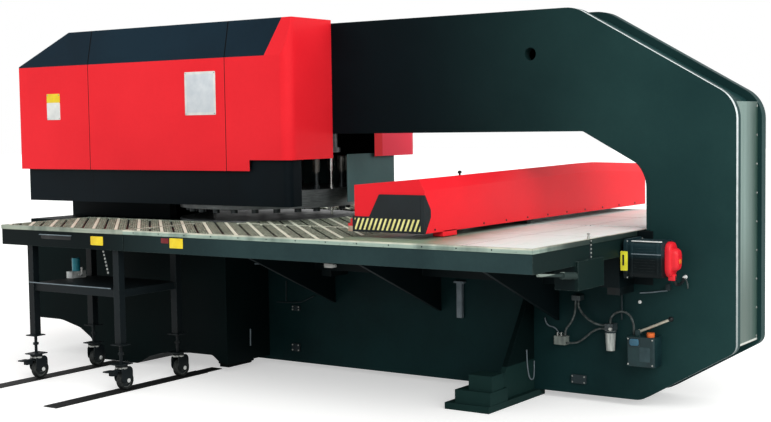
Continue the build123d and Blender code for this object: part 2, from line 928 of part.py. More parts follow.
deck_sheet_top = deck_top - inlay_height
deck_sheet_bottom = deck_sheet_top - deck_sheet_thickness
with BuildPart() as table_bed:
    with BuildSketch(Plane.XY.offset(deck_sheet_bottom)):
        draw_deck(table_right - deck_inset, 0)
    extrude(amount=deck_sheet_thickness)
    for side in (-1, 1):
        for x in bracket_x_positions:
            with BuildSketch(Plane.YZ.offset(x)):
                with BuildLine():
                    Polyline(
                        (side * plate_outer, bracket_root_bottom),
                        (side * plate_outer, bracket_root_top),
                        (side * bracket_clear, bracket_root_top),
                        (side * bracket_clear, deck_sheet_bottom),
                        (side * edge_beam_y, deck_sheet_bottom),
                        (side * edge_beam_y, deck_sheet_bottom - bracket_tip_drop),
                        (side * bracket_tip, deck_sheet_bottom - bracket_tip_drop),
                        close=True,
                    )
                make_face()
            extrude(amount=bracket_thickness / 2, both=True)
        beam_start = table_left_near if side < 0 else table_left_far
        with BuildSketch(Plane.XY.offset(deck_sheet_bottom)):
            with Locations((beam_start + edge_beam_size, side * edge_beam_y)):
                Rectangle(
                    table_right - beam_start - 2 * edge_beam_size, edge_beam_size,
                    align=(Align.MIN, Align.CENTER),
                )
        extrude(amount=-edge_beam_size)
    with BuildSketch(Plane.XY):
        with Locations(*[(x + post_size / 2, edge_beam_y) for x in post_x_positions]):
            Rectangle(post_size, post_size)
    extrude(amount=deck_sheet_bottom)
    # Guard sheets round the drive below the deck, and the plates that close the window beside them
    with BuildSketch(Plane.XY.offset(guard_bottom)):
        for side in (-1, 1):
            away = Align.MIN if side > 0 else Align.MAX
            with Locations((guard_left, side * guard_y)):
                Rectangle(guard_end_x - guard_left, guard_thickness, align=(Align.MIN, away))
            with Locations((guard_end_x, side * plate_outer)):
                Rectangle(guard_thickness, guard_y + guard_thickness - plate_outer, align=(Align.MAX, away))
    extrude(amount=deck_sheet_bottom - guard_bottom)
    for side in (-1, 1):
        with BuildSketch(Plane.XZ.offset(-side * plate_outer)):
            with BuildLine():
                Polyline(
                    (guard_end_x, guard_bottom),
                    (guard_plate_right, guard_bottom),
                    (guard_plate_right, deck_top),
                    (table_right + guard_thickness, deck_top),
                    (table_right + guard_thickness, apron_bottom - body_gap),
                    (guard_end_x, apron_bottom - body_gap),
                    close=True,
                )
            make_face()
        extrude(amount=-side * guard_thickness)
    with BuildSketch(Plane.YZ.offset(guard_end_x + guard_thickness)):
        with Locations((screw_y, screw_z)):
            SlotCenterToCenter(1, 2 * (motor_boss_radius + 5), rotation=90)
    extrude(amount=-3 * guard_thickness, mode=Mode.SUBTRACT)
table_bed.part.label = "table_bed"
export_step(table_bed.part, "parts/table_bed.step")


def draw_diagonals(width, shifts):
    """Adds parallel strips at 45 degrees, one set per pitch, to the open sketch."""
    count = 34
    length = 4 * table_half_depth
    for i in range(count):
        for shift in shifts:
            x = bar_phase + (i - count / 2 - 1) * bar_pitch + shift * sqrt(2)
            with Locations((x, 0)):
                Rectangle(length, width, rotation=135)


band_shift = bar_width / 2 + band_gap / 2 + band_width / 2
band_shifts = (band_shift, bar_pitch / sqrt(2) - band_shift)
field_right = plain_field_left - plain_plate_gap

# Plan of the brush field, with and without the strips beside its inner edges
with BuildSketch() as bar_field:
    draw_deck(field_right, deck_gap)
with BuildSketch() as band_field:
    draw_deck(field_right, deck_gap)
    for y in (-inner_deck_half_depth, inner_deck_half_depth):
        with Locations((inner_deck_left, y)):
            Rectangle(
                field_right - inner_deck_left, 2 * (seam_bar_width + band_gap),
                align=(Align.MIN, Align.CENTER), mode=Mode.SUBTRACT,
            )

# Pale bars of the brush field and the straight bars at its inner edges
with BuildPart() as deck_bars:
    with BuildSketch(Plane.XY.offset(deck_sheet_top)):
        draw_diagonals(bar_width, (0,))
        add(bar_field.sketch, mode=Mode.INTERSECT)
        with Locations((inner_deck_left, -inner_deck_half_depth)):
            Rectangle(field_right - inner_deck_left, seam_bar_width, align=(Align.MIN, Align.MAX))
        with Locations((inner_deck_left, inner_deck_half_depth)):
            Rectangle(field_right - inner_deck_left, seam_bar_width, align=(Align.MIN, Align.MIN))
    extrude(amount=inlay_height)
deck_bars.part.label = "deck_bars"
export_step(deck_bars.part, "parts/deck_bars.step")

with BuildPart() as brush_bands:
    with BuildSketch(Plane.XY.offset(deck_sheet_top)):
        draw_diagonals(band_width, band_shifts)
        add(band_field.sketch, mode=Mode.INTERSECT)
    extrude(amount=inlay_height)
brush_bands.part.label = "brush_bands"
export_step(brush_bands.part, "parts/brush_bands.step")

# Plain pale plates of the right field
plate_rows = (
    (-table_half_depth + deck_inset + deck_gap, -inner_deck_half_depth - plain_plate_gap / 2),
    (-inner_deck_half_depth + plain_plate_gap / 2, -slot_half_width),
    (slot_half_width, inner_deck_half_depth - plain_plate_gap / 2),
    (inner_deck_half_depth + plain_plate_gap / 2, table_half_depth - deck_inset - deck_gap),
)
with BuildPart() as deck_plates:
    with BuildSketch(Plane.XY.offset(deck_sheet_top)):
        for low, high in plate_rows:
            with Locations((plain_field_left, low)):
                Rectangle(
                    table_right - deck_inset - deck_gap - plain_field_left, high - low,
                    align=(Align.MIN, Align.MIN),
                )
    extrude(amount=inlay_height)
deck_plates.part.label = "deck_plates"
export_step(deck_plates.part, "parts/deck_plates.step")

# Rails of the cross beam, on the lower edges of the window, and the ball screw's bearing blocks
with BuildPart() as beam_rails:
    with BuildSketch(Plane.XY.offset(window_bottom)):
        with Locations((rail_left, -plate_middle), (rail_left, plate_middle)):
            Rectangle(rail_right - rail_left, rail_width, align=(Align.MIN, Align.CENTER))
    extrude(amount=rail_height)
    for x in (screw_left - bearing_length / 2, screw_right - bearing_length):
        with BuildSketch(Plane.YZ.offset(x)):
            with BuildLine():
                Polyline(
                    (-plate_outer, window_bottom - bearing_height),
                    (screw_y - bearing_half_width, window_bottom - bearing_height),
                    (screw_y - bearing_half_width, screw_z + bearing_half_width),
                    (screw_y + bearing_half_width, screw_z + bearing_half_width),
                    (screw_y + bearing_half_width, window_bottom - shaft_end_gap),
                    (-plate_outer, window_bottom - shaft_end_gap),
                    close=True,
                )
            make_face()
        extrude(amount=bearing_length)
    with BuildSketch(Plane.YZ.offset(screw_left - body_gap)):
        with Locations((screw_y, screw_z)):
            Circle(screw_radius + running_clearance)
    extrude(amount=screw_right - screw_left + 2 * body_gap, mode=Mode.SUBTRACT)
beam_rails.part.label = "beam_rails"
export_step(beam_rails.part, "parts/beam_rails.step")

# Ball screw and the servo motor
with BuildPart() as ball_screw:
    with BuildSketch(Plane.YZ.offset(screw_left)):
        with Locations((screw_y, screw_z)):
            Circle(screw_radius)
    extrude(amount=screw_right - screw_left)
ball_screw.part.label = "ball_screw"
export_step(ball_screw.part, "parts/ball_screw.step")

motor_start = screw_right + body_gap + motor_boss_length
motor_end = motor_start + motor_length
with BuildPart() as beam_motor:
    with BuildSketch(Plane.YZ.offset(screw_right + body_gap)):
        with Locations((screw_y, screw_z)):
            Circle(motor_boss_radius)
    extrude(amount=motor_boss_length)
    with BuildSketch(Plane.YZ.offset(motor_start)):
        with Locations((screw_y, screw_z)):
            RectangleRounded(motor_flange_size, motor_flange_size, motor_corner_radius)
    extrude(amount=motor_flange_thickness)
    with BuildSketch(Plane.YZ.offset(motor_start)):
        with Locations((screw_y, screw_z)):
            RectangleRounded(motor_size, motor_size, motor_corner_radius)
    extrude(amount=motor_length)
beam_motor.part.label = "beam_motor"
export_step(beam_motor.part, "parts/beam_motor.step")

with BuildPart() as beam_motor_cap:
    with BuildSketch(Plane.YZ.offset(motor_end)):
        with Locations((screw_y, screw_z)):
            RectangleRounded(motor_cap_width, motor_cap_height, motor_cap_corner)
    extrude(amount=motor_cap_length, taper=motor_cap_taper)
    with BuildSketch(Plane.YZ.offset(motor_end)):
        with Locations((screw_y, screw_z - motor_cap_height / 2)):
            RectangleRounded(motor_plug_size, motor_plug_size, motor_plug_size / 5)
    extrude(amount=motor_cap_length / 2)
beam_motor_cap.part.label = "beam_motor_cap"
export_step(beam_motor_cap.part, "parts/beam_motor_cap.step")

# Saddle: base on the rails, neck through the slot, and the screw's nut
saddle_x = (beam_left + beam_right) / 2
with BuildPart() as beam_saddle:
    with BuildSketch(Plane.XY.offset(saddle_bottom)):
        with Locations((saddle_x, 0)):
            Rectangle(2 * saddle_half_length, 2 * saddle_half_width)
    extrude(amount=saddle_thickness)
    block_width = rail_width + 40
    with BuildSketch(Plane.XY.offset(saddle_bottom)):
        for end in (-1, 1):
            with Locations(
                (saddle_x + end * (saddle_half_length - 60), -plate_middle),
                (saddle_x + end * (saddle_half_length - 60), plate_middle),
            ):
                Rectangle(2 * 55, block_width)
    extrude(amount=-(saddle_bottom - window_bottom - shaft_end_gap))
    with BuildSketch(Plane.XY.offset(window_bottom)):
        with Locations((saddle_x, -plate_middle), (saddle_x, plate_middle)):
            Rectangle(3 * saddle_half_length, rail_width + 2 * body_gap)
    extrude(amount=rail_height + body_gap, mode=Mode.SUBTRACT)
    with BuildSketch(Plane.XY.offset(saddle_bottom + saddle_thickness)):
        with Locations((saddle_x, 0)):
            Rectangle(saddle_neck_length, saddle_neck_width)
    extrude(amount=girder_bottom - saddle_bottom - saddle_thickness)
    with BuildSketch(Plane.YZ.offset(saddle_x)):
        with Locations((screw_y, screw_z)):
            Circle(nut_radius)
        with BuildLine():
            Polyline(
                (screw_y, screw_z + nut_radius),
                (screw_y, screw_z - nut_radius),
                (-saddle_half_width, saddle_bottom),
                (-saddle_half_width + 2 * nut_radius, saddle_bottom + saddle_thickness),
                (-saddle_half_width, saddle_bottom + saddle_thickness + nut_radius),
                close=True,
            )
        make_face()
    extrude(amount=nut_length / 2, both=True)
    with BuildSketch(Plane.YZ.offset(saddle_x)):
        with Locations((screw_y, screw_z)):
            Circle(screw_radius + running_clearance)
    extrude(amount=nut_length, both=True, mode=Mode.SUBTRACT)
beam_saddle.part.label = "beam_saddle"
export_step(beam_saddle.part, "parts/beam_saddle.step")

# Girder: a hollow box with two rails on its left face
beam_near = beam_near_inset - table_half_depth
beam_far = table_half_depth + beam_far_overhang
skid_near = beam_near + skid_setback
skid_far = skid_near + skid_length
girder_near = beam_near + girder_end_gap
girder_far = beam_far - girder_end_gap
with BuildPart() as beam_girder:
    with BuildSketch(Plane.XZ.offset(-girder_near)):
        with Locations(((girder_left + girder_right) / 2, (girder_bottom + girder_top) / 2)):
            Rectangle(girder_right - girder_left, girder_top - girder_bottom)
            Rectangle(
                girder_right - girder_left - 2 * girder_wall,
                girder_top - girder_bottom - 2 * girder_wall,
                mode=Mode.SUBTRACT,
            )
        with Locations(*[(girder_left, z) for z in girder_rail_z_positions]):
            Rectangle(girder_rail_width, girder_rail_height, align=(Align.MAX, Align.CENTER))
    extrude(amount=-(girder_far - girder_near))
beam_girder.part.label = "beam_girder"
export_step(beam_girder.part, "parts/beam_girder.step")

# Red cover of the beam, open to the left and below
cover_shapes = []
for inset, low in ((0, beam_bottom), (beam_wall, beam_bottom - beam_wall)):
    with BuildPart() as cover_shape:
        with BuildSketch(Plane.YZ.offset(beam_left - inset)):
            with BuildLine():
                Polyline(
                    (beam_near + inset, low),
                    (beam_far - inset, low),
                    (beam_far - inset, beam_top_far - inset),
                    (beam_top_middle_y, beam_top_middle - inset),
                    (beam_near + inset, beam_top_near - inset),
                    close=True,
                )
            make_face()
        extrude(amount=beam_right - beam_left)
        right_face = cover_shape.faces().sort_by(Axis.X)[-1]
        top_edges = right_face.edges().filter_by(lambda e: e.center().Z > beam_top_near - 10)
        chamfer(top_edges, beam_bevel_drop, beam_bevel_run, reference=right_face)
    cover_shapes.append(cover_shape.part)
with BuildPart() as beam_cover:
    add(cover_shapes[0])
    add(cover_shapes[1], mode=Mode.SUBTRACT)
    with BuildSketch(Plane.XY.offset(beam_bottom + beam_wall)):
        with Locations((beam_right, skid_near)):
            Rectangle(skid_width, skid_far - skid_near, align=(Align.MAX, Align.MIN))
    extrude(amount=-(beam_bottom + beam_wall - deck_top - skid_lift))
    # Webs that hold the cover on the girder's top
    with BuildSketch(Plane.XY.offset(girder_top)):
        with Locations(
            ((girder_left + girder_right) / 2, beam_near + cover_web_inset),
            ((girder_left + girder_right) / 2, beam_far - cover_web_inset),
        ):
            Rectangle(girder_right - girder_left, cover_web_thickness)
    extrude(until=Until.NEXT)
beam_cover.part.label = "beam_cover"
export_step(beam_cover.part, "parts/beam_cover.step")

# End plate with the warning stripes, and the signal lamp beside it
with BuildPart() as beam_end_plate:
    with BuildSketch(Plane.XZ.offset(-beam_near)):
        with BuildLine():
            Polyline(
                (end_plate_left, beam_bottom),
                (end_plate_right, beam_bottom),
                (end_plate_right, end_plate_top),
                (end_plate_left + 2 * (end_plate_right - end_plate_left) / 5, end_plate_top),
                (end_plate_left + (end_plate_right - end_plate_left) / 4, end_plate_split),
                (end_plate_left, end_plate_split),
                close=True,
            )
        make_face()
    extrude(amount=end_plate_thickness)
beam_end_plate.part.label = "beam_end_plate"
export_step(beam_end_plate.part, "parts/beam_end_plate.step")

with BuildPart() as beam_lamp:
    with BuildSketch(Plane.XY.offset(beam_bottom)):
        with Locations((end_plate_left, beam_near)):
            Rectangle(lamp_box_size, lamp_box_depth, align=(Align.MAX, Align.MIN))
    extrude(amount=lamp_box_height)
    with BuildSketch(Plane.XY.offset(beam_bottom + lamp_box_height)):
        with Locations((end_plate_left - lamp_box_size / 2, beam_near + lamp_box_size / 2)):
            Circle(lamp_radius)
    extrude(amount=lamp_height)
beam_lamp.part.label = "beam_lamp"
export_step(beam_lamp.part, "parts/beam_lamp.step")

# Clamp carriage: plate on the girder's rails with three clamp bodies
carriage_right = girder_left - body_gap
carriage_left = girder_left - girder_rail_width - carriage_thickness
clamp_y_positions = [carriage_y + i * clamp_pitch for i in (-1, 0, 1)]
with BuildPart() as clamp_carriage:
    with BuildSketch(Plane.XZ.offset(-carriage_y)):
        with Locations((carriage_left, (carriage_bottom + carriage_top) / 2)):
            Rectangle(
                carriage_right - carriage_left, carriage_top - carriage_bottom,
                align=(Align.MIN, Align.CENTER),
            )
        with Locations(*[(girder_left, z) for z in girder_rail_z_positions]):
            Rectangle(
                girder_rail_width + body_gap, girder_rail_height + 2 * body_gap,
                align=(Align.MAX, Align.CENTER), mode=Mode.SUBTRACT,
            )
    extrude(amount=carriage_length / 2, both=True)
    for y in clamp_y_positions:
        with BuildSketch(Plane.XZ.offset(-y)):
            with BuildLine():
                Polyline(
                    (carriage_left, clamp_body_top),
                    (clamp_body_left - 25, clamp_body_top - 20),
                    (clamp_body_left - 25, lower_jaw_top + sheet_gap + 12),
                    (clamp_body_left - 5, lower_jaw_top + sheet_gap),
                    (clamp_body_left - 5, lower_jaw_top),
                    (clamp_tip_x, lower_jaw_top),
                    (clamp_tip_x, lower_jaw_bottom),
                    (carriage_left, lower_jaw_bottom),
                    close=True,
                )
            make_face()
        extrude(amount=clamp_width / 2, both=True)
        with BuildSketch(Plane.XZ.offset(-y)):
            with Locations(
                (jaw_pivot_x - jaw_pocket_shift, (lower_jaw_top + clamp_body_top) / 2 + jaw_pocket_margin)
            ):
                Rectangle(jaw_pocket_length, clamp_body_top - lower_jaw_top + 2 * jaw_pocket_margin)
        extrude(amount=jaw_width / 2 + 1, both=True, mode=Mode.SUBTRACT)
        with BuildSketch(Plane.XZ.offset(-y)):
            with Locations((jaw_pivot_x, jaw_pivot_z)):
                Circle(jaw_pin_radius)
        extrude(amount=clamp_width / 2, both=True)
clamp_carriage.part.label = "clamp_carriage"
export_step(clamp_carriage.part, "parts/clamp_carriage.step")

jaw_bottom = lower_jaw_top + sheet_gap
for number, y in enumerate(clamp_y_positions, start=1):
    with BuildPart() as clamp_jaw:
        with BuildSketch(Plane.XZ.offset(-y)):
            with BuildLine():
                Polyline(
                    (clamp_tip_x, jaw_bottom),
                    (clamp_tip_x + 70, jaw_bottom),
                    (jaw_pivot_x, jaw_pivot_z - jaw_root_radius),
                    (jaw_pivot_x, jaw_pivot_z + jaw_root_radius),
                    (clamp_tip_x + 50, jaw_bottom + 2 * jaw_tip_height),
                    (clamp_tip_x, jaw_bottom + jaw_tip_height),
                    close=True,
                )
            make_face()
            with Locations((jaw_pivot_x, jaw_pivot_z)):
                Circle(jaw_root_radius)
                Circle(jaw_pin_radius + running_clearance, mode=Mode.SUBTRACT)
        extrude(amount=jaw_width / 2, both=True)
    clamp_jaw.part.label = f"clamp_jaw_{number}"
    export_step(clamp_jaw.part, f"parts/clamp_jaw_{number}.step")

cart_right = table_left_near - 2 * trim_proud - cart_gap
cart_back = -inner_deck_half_depth
cart_leg_y_positions = [cart_leg_inset - table_half_depth, cart_back - cart_leg_setback]

# Roll-out cart: frame with legs, rails, shelf, levelling stems and caster plates
cart_corners = [(x, y) for x in cart_leg_x_positions for y in cart_leg_y_positions]
cart_mid_x = sum(cart_leg_x_positions) / 2
cart_mid_y = sum(cart_leg_y_positions) / 2
cart_span_x = cart_leg_x_positions[1] - cart_leg_x_positions[0]
cart_span_y = cart_leg_y_positions[1] - cart_leg_y_positions[0]
with BuildPart() as cart_frame:
    with BuildSketch(Plane.XY.offset(cart_leg_bottom)):
        with Locations(*cart_corners):
            Rectangle(cart_leg_size, cart_leg_size)
    extrude(amount=deck_sheet_bottom - cart_leg_bottom)
    with BuildSketch(Plane.XY.offset(cart_rail_top - cart_rail_height)):
        with Locations((cart_mid_x, cart_mid_y)):
            Rectangle(cart_span_x + cart_leg_size / 2, cart_span_y + cart_leg_size / 2)
            Rectangle(cart_span_x - cart_leg_size / 2, cart_span_y - cart_leg_size / 2, mode=Mode.SUBTRACT)
    extrude(amount=cart_rail_height)
    with BuildSketch(Plane.XY.offset(cart_rail_top - cart_shelf_thickness)):
        with Locations((cart_mid_x, cart_mid_y)):
            Rectangle(cart_span_x, cart_span_y)
    extrude(amount=cart_shelf_thickness)
    with BuildSketch(Plane.XY.offset(cart_leg_bottom)):
        with Locations(*cart_corners):
            Rectangle(foot_plate_size, foot_plate_size)
    extrude(amount=-foot_plate_thickness)
    with BuildSketch(Plane.XY.offset(caster_plate_bottom)):
        with Locations(*cart_corners):
            Circle(stem_radius)
    extrude(amount=cart_leg_bottom - caster_plate_bottom)
    with BuildSketch(Plane.XY.offset(stem_nut_z)):
        with Locations(*cart_corners):
            RegularPolygon(stem_nut_radius, 6)
    extrude(amount=stem_nut_height)
    with BuildSketch(Plane.XY.offset(caster_plate_bottom)):
        with Locations(*cart_corners):
            Rectangle(caster_plate_width, caster_plate_length)
    extrude(amount=caster_plate_thickness)
    with BuildSketch(Plane.XY.offset(caster_plate_bottom)):
        with Locations(*cart_corners):
            Circle(king_pin_radius)
    extrude(amount=-king_pin_length)
cart_frame.part.label = "cart_frame"
export_step(cart_frame.part, "parts/cart_frame.step")

with BuildPart() as cart_apron:
    with BuildSketch(Plane.XY.offset(apron_bottom)):
        with BuildLine():
            Polyline(
                (cart_left, cart_back),
                (cart_left, -table_half_depth),
                (cart_right, -table_half_depth),
                (cart_right, cart_back),
                close=True,
            )
        make_face()
        offset(amount=-apron_thickness, mode=Mode.SUBTRACT)
    extrude(amount=deck_top - trim_height - apron_bottom)
cart_apron.part.label = "cart_apron"
export_step(cart_apron.part, "parts/cart_apron.step")

cart_length = cart_right - cart_left
cart_depth = cart_back + table_half_depth
cart_center = ((cart_left + cart_right) / 2, (cart_back - table_half_depth) / 2)
with BuildSketch() as cart_bar_field:
    with Locations(cart_center):
        Rectangle(cart_length - 2 * deck_inset, cart_depth - 2 * deck_inset)
with BuildSketch() as cart_band_field:
    with Locations(cart_center):
        Rectangle(cart_length - 2 * deck_inset - 2 * deck_gap, cart_depth - 2 * deck_inset - 2 * deck_gap)
with BuildPart() as cart_deck:
    with BuildSketch(Plane.XY.offset(deck_top - trim_height)):
        with Locations(cart_center):
            Rectangle(cart_length + 2 * trim_proud, cart_depth + 2 * trim_proud)
            Rectangle(cart_length - 2 * deck_inset, cart_depth - 2 * deck_inset, mode=Mode.SUBTRACT)
    extrude(amount=trim_height)
    with BuildSketch(Plane.XY.offset(deck_sheet_bottom)):
        with Locations(cart_center):
            Rectangle(cart_length, cart_depth)
    extrude(amount=deck_sheet_thickness)
    with BuildSketch(Plane.XY.offset(deck_sheet_top)):
        draw_diagonals(bar_width, (0,))
        add(cart_bar_field.sketch, mode=Mode.INTERSECT)
    extrude(amount=inlay_height)
cart_deck.part.label = "cart_deck"
export_step(cart_deck.part, "parts/cart_deck.step")

with BuildPart() as cart_brushes:
    with BuildSketch(Plane.XY.offset(deck_sheet_top)):
        draw_diagonals(band_width, band_shifts)
        add(cart_band_field.sketch, mode=Mode.INTERSECT)
    extrude(amount=inlay_height)
cart_brushes.part.label = "cart_brushes"
export_step(cart_brushes.part, "parts/cart_brushes.step")

# Casters
fork_top = caster_plate_bottom - body_gap
axle_z = floor_rail_thickness + body_gap + wheel_radius
for number, (x, y) in enumerate(cart_corners, start=1):
    with BuildPart() as caster_fork:
        with BuildSketch(Plane.XY.offset(fork_top)):
            with Locations((x, y)):
                Circle(fork_disc_radius)
                Circle(king_pin_radius + running_clearance, mode=Mode.SUBTRACT)
        extrude(amount=-fork_disc_thickness)
        for hand in (-1, 1):
            wall_x = x + hand * (fork_gap + fork_wall) / 2
            with BuildSketch(Plane.YZ.offset(wall_x)):
                with BuildLine():
                    Polyline(
                        (y - fork_width / 2, fork_top - fork_disc_thickness / 2),
                        (y + fork_width / 2, fork_top - fork_disc_thickness / 2),
                        (y + caster_trail + fork_end_radius, axle_z),
                        (y + caster_trail - fork_end_radius, axle_z),
                        (y - fork_width / 2, pedal_pin_z - pedal_hub_radius),
                        close=True,
                    )
                make_face()
                with Locations((y + caster_trail, axle_z)):
                    Circle(fork_end_radius)
            extrude(amount=fork_wall / 2, both=True)
        with BuildSketch(Plane.YZ.offset(x)):
            with Locations((y + caster_trail, axle_z)):
                Circle(axle_radius)
        extrude(amount=fork_gap / 2 + fork_wall, both=True)
        if y == cart_leg_y_positions[0]:
            with BuildSketch(Plane.YZ.offset(x)):
                with Locations((y - pedal_pin_back + pedal_hub_radius, pedal_pin_z)):
                    Circle(pedal_pin_radius)
            extrude(amount=fork_gap / 2 + fork_wall, both=True)
    caster_fork.part.label = f"caster_fork_{number}"
    export_step(caster_fork.part, f"parts/caster_fork_{number}.step")
    with BuildPart() as caster_wheel:
        with BuildSketch(Plane.XY.offset(axle_z)):
            with BuildLine():
                Polyline(
                    (x - wheel_width / 2, y + caster_trail + wheel_radius - 4),
                    (x - wheel_width / 2 + 4, y + caster_trail + wheel_radius),
                    (x + wheel_width / 2 - 4, y + caster_trail + wheel_radius),
                    (x + wheel_width / 2, y + caster_trail + wheel_radius - 4),
                    (x + wheel_width / 2, y + caster_trail + wheel_radius - 12),
                    (x + wheel_web_width / 2, y + caster_trail + wheel_radius - 12),
                    (x + wheel_web_width / 2, y + caster_trail + wheel_hub_radius),
                    (x + wheel_width / 2, y + caster_trail + wheel_hub_radius),
                    (x + wheel_width / 2, y + caster_trail + axle_radius + running_clearance),
                    (x - wheel_width / 2, y + caster_trail + axle_radius + running_clearance),
                    (x - wheel_width / 2, y + caster_trail + wheel_hub_radius),
                    (x - wheel_web_width / 2, y + caster_trail + wheel_hub_radius),
                    (x - wheel_web_width / 2, y + caster_trail + wheel_radius - 12),
                    (x - wheel_width / 2, y + caster_trail + wheel_radius - 12),
                    close=True,
                )
            make_face()
        revolve(axis=Axis((x, y + caster_trail, axle_z), (1, 0, 0)))
    caster_wheel.part.label = f"caster_wheel_{number}"
    export_step(caster_wheel.part, f"parts/caster_wheel_{number}.step")

# Brake pedals on the two front casters
front_corners = [(x, cart_leg_y_positions[0]) for x in cart_leg_x_positions]
for number, (x, y) in enumerate(front_corners, start=1):
    pin_y = y - pedal_pin_back + pedal_hub_radius
    with BuildPart() as brake_pedal:
        with BuildSketch(Plane.YZ.offset(x)):
            with Locations((pin_y, pedal_pin_z)):
                Circle(pedal_hub_radius)
            with BuildLine():
                Polyline(
                    (pin_y, pedal_pin_z + pedal_hub_radius),
                    (pin_y, pedal_pin_z),
                    (pin_y - pedal_length + 20, pedal_pin_z + 2),
                    (pin_y - pedal_length, pedal_pin_z + 6),
                    (pin_y - pedal_length, pedal_pin_z + 6 + pedal_thickness),
                    (pin_y - pedal_length + 20, pedal_pin_z + 2 + pedal_thickness),
                    close=True,
                )
            make_face()
            with Locations((pin_y, pedal_pin_z)):
                Circle(pedal_pin_radius + running_clearance, mode=Mode.SUBTRACT)
        extrude(amount=pedal_width / 2, both=True)
    brake_pedal.part.label = f"brake_pedal_{number}"
    export_step(brake_pedal.part, f"parts/brake_pedal_{number}.step")

# Floor rails under the casters
with BuildPart() as floor_rails:
    floor_rail_near = -table_half_depth - floor_rail_reach
    with BuildSketch(Plane.XY):
        with Locations(*[(x, floor_rail_near) for x in cart_leg_x_positions]):
            Rectangle(floor_rail_width, floor_rail_far - floor_rail_near, align=(Align.CENTER, Align.MIN))
    extrude(amount=floor_rail_thickness)
floor_rails.part.label = "floor_rails"
export_step(floor_rails.part, "parts/floor_rails.step")

# Hand lubrication pump on the column
pump_top = pump_bottom + pump_height
pump_y = -plate_outer - pump_depth / 2
ear_gap = 2 * lever_radius + 1
ear_wall = 6
with BuildPart() as lube_pump:
    with BuildSketch(Plane.XZ.offset(plate_outer)):
        with Locations((pump_left, pump_bottom)):
            Rectangle(pump_width, pump_height, align=(Align.MIN, Align.MIN))
    extrude(amount=pump_depth)
    fillet(lube_pump.edges().filter_by(Axis.Z).group_by(Axis.Y)[0], pump_corner_radius)
    with BuildSketch(Plane.XZ.offset(-pump_y)):
        with Locations((lever_pivot_x, (pump_top + lever_pivot_z) / 2)):
            Rectangle(2 * lever_hub_radius, lever_pivot_z - pump_top)
        with Locations((lever_pivot_x, lever_pivot_z)):
            Circle(lever_hub_radius)
    extrude(amount=ear_gap / 2 + ear_wall, both=True)
    with BuildSketch(Plane.XZ.offset(-pump_y)):
        with Locations((lever_pivot_x, lever_pivot_z)):
            Rectangle(4 * lever_hub_radius, 2 * lever_hub_radius + 2)
    extrude(amount=ear_gap / 2, both=True, mode=Mode.SUBTRACT)
    with BuildSketch(Plane.XZ.offset(-pump_y)):
        with Locations((lever_pivot_x, lever_pivot_z)):
            Circle(lever_pin_radius)
    extrude(amount=ear_gap / 2 + ear_wall, both=True)
    with BuildSketch(Plane.XY.offset(pump_top)):
        with Locations((filler_x, -plate_outer - filler_stand_off)):
            Circle(filler_radius)
    extrude(amount=filler_height)
lube_pump.part.label = "lube_pump"
export_step(lube_pump.part, "parts/lube_pump.step")

lever_direction = Vector(cos(radians(lever_angle)), 0, sin(radians(lever_angle)))
lever_plane = Plane(
    origin=Vector(lever_pivot_x, pump_y, lever_pivot_z), x_dir=(0, 1, 0), z_dir=lever_direction
)
with BuildPart() as lube_lever:
    with BuildSketch(Plane.XZ.offset(-pump_y)):
        with Locations((lever_pivot_x, lever_pivot_z)):
            Circle(lever_hub_radius - 1)
    extrude(amount=lever_radius, both=True)
    with BuildSketch(lever_plane):
        Circle(lever_radius)
    extrude(amount=lever_length)
    with BuildSketch(Plane.XZ.offset(-pump_y)):
        with Locations((lever_pivot_x, lever_pivot_z)):
            Circle(lever_pin_radius + running_clearance)
    extrude(amount=lever_hub_radius, both=True, mode=Mode.SUBTRACT)
lube_lever.part.label = "lube_lever"
export_step(lube_lever.part, "parts/lube_lever.step")

# Air filter and the two blocks that the hoses come from, all on the column
hose_y = -plate_outer - hose_stand_off
with BuildPart() as air_unit:
    with BuildSketch(Plane.XZ.offset(plate_outer)):
        with Locations((filter_x, filter_top - filter_head_height / 2)):
            Rectangle(filter_head_size, filter_head_height)
    extrude(amount=hose_stand_off + filter_head_size / 2)
    with BuildSketch(Plane.XY.offset(filter_top - filter_head_height)):
        with Locations((filter_x, hose_y)):
            Circle(filter_bowl_radius)
    extrude(amount=-filter_bowl_height, taper=3)
    with BuildSketch(Plane.XZ.offset(plate_outer)):
        with Locations((manifold_x, manifold_z)):
            Rectangle(manifold_width, manifold_height)
        with Locations((outlet_x, outlet_z)):
            Rectangle(outlet_width, outlet_height)
    extrude(amount=manifold_depth)
air_unit.part.label = "air_unit"
export_step(air_unit.part, "parts/air_unit.step")

# Hoses, each from one block face to another, in a plane beside the column
manifold_top = manifold_z + manifold_height / 2
manifold_right = manifold_x + manifold_width / 2
outlet_bottom = outlet_z - outlet_height / 2
filter_left = filter_x - filter_head_size / 2
hose_routes = [
    [
        (filter_x, filter_top), (filter_x, 454), (1593, 481), (1628, 498), (1664, 496), (1692, 473),
        (1707, 431), (1707, pump_top),
    ],
    [(1374, outlet_bottom), (1374, 498), (1365, 456), (1345, 416), (1313, 381), (1313, manifold_top)],
    [
        (1391, outlet_bottom), (1391, 507), (1410, 475), (1441, 447), (1476, 427), (1514, 418),
        (filter_left, 418),
    ],
    [
        (manifold_right, 309), (1348, 309), (1382, 315), (1413, 332), (1442, 357), (1474, 383),
        (1512, 401), (filter_left, 401),
    ],
]


def largest_radii(points):
    """Radius of the arc at each inner point of a route: as large as its two runs allow."""
    radii = []
    for a, b, c in zip(points, points[1:], points[2:]):
        before = Vector(b[0] - a[0], b[1] - a[1])
        after = Vector(c[0] - b[0], c[1] - b[1])
        shorter = min(before.length, after.length)
        radii.append(0.45 * shorter / tan(radians(before.get_angle(after) / 2)))
    return radii


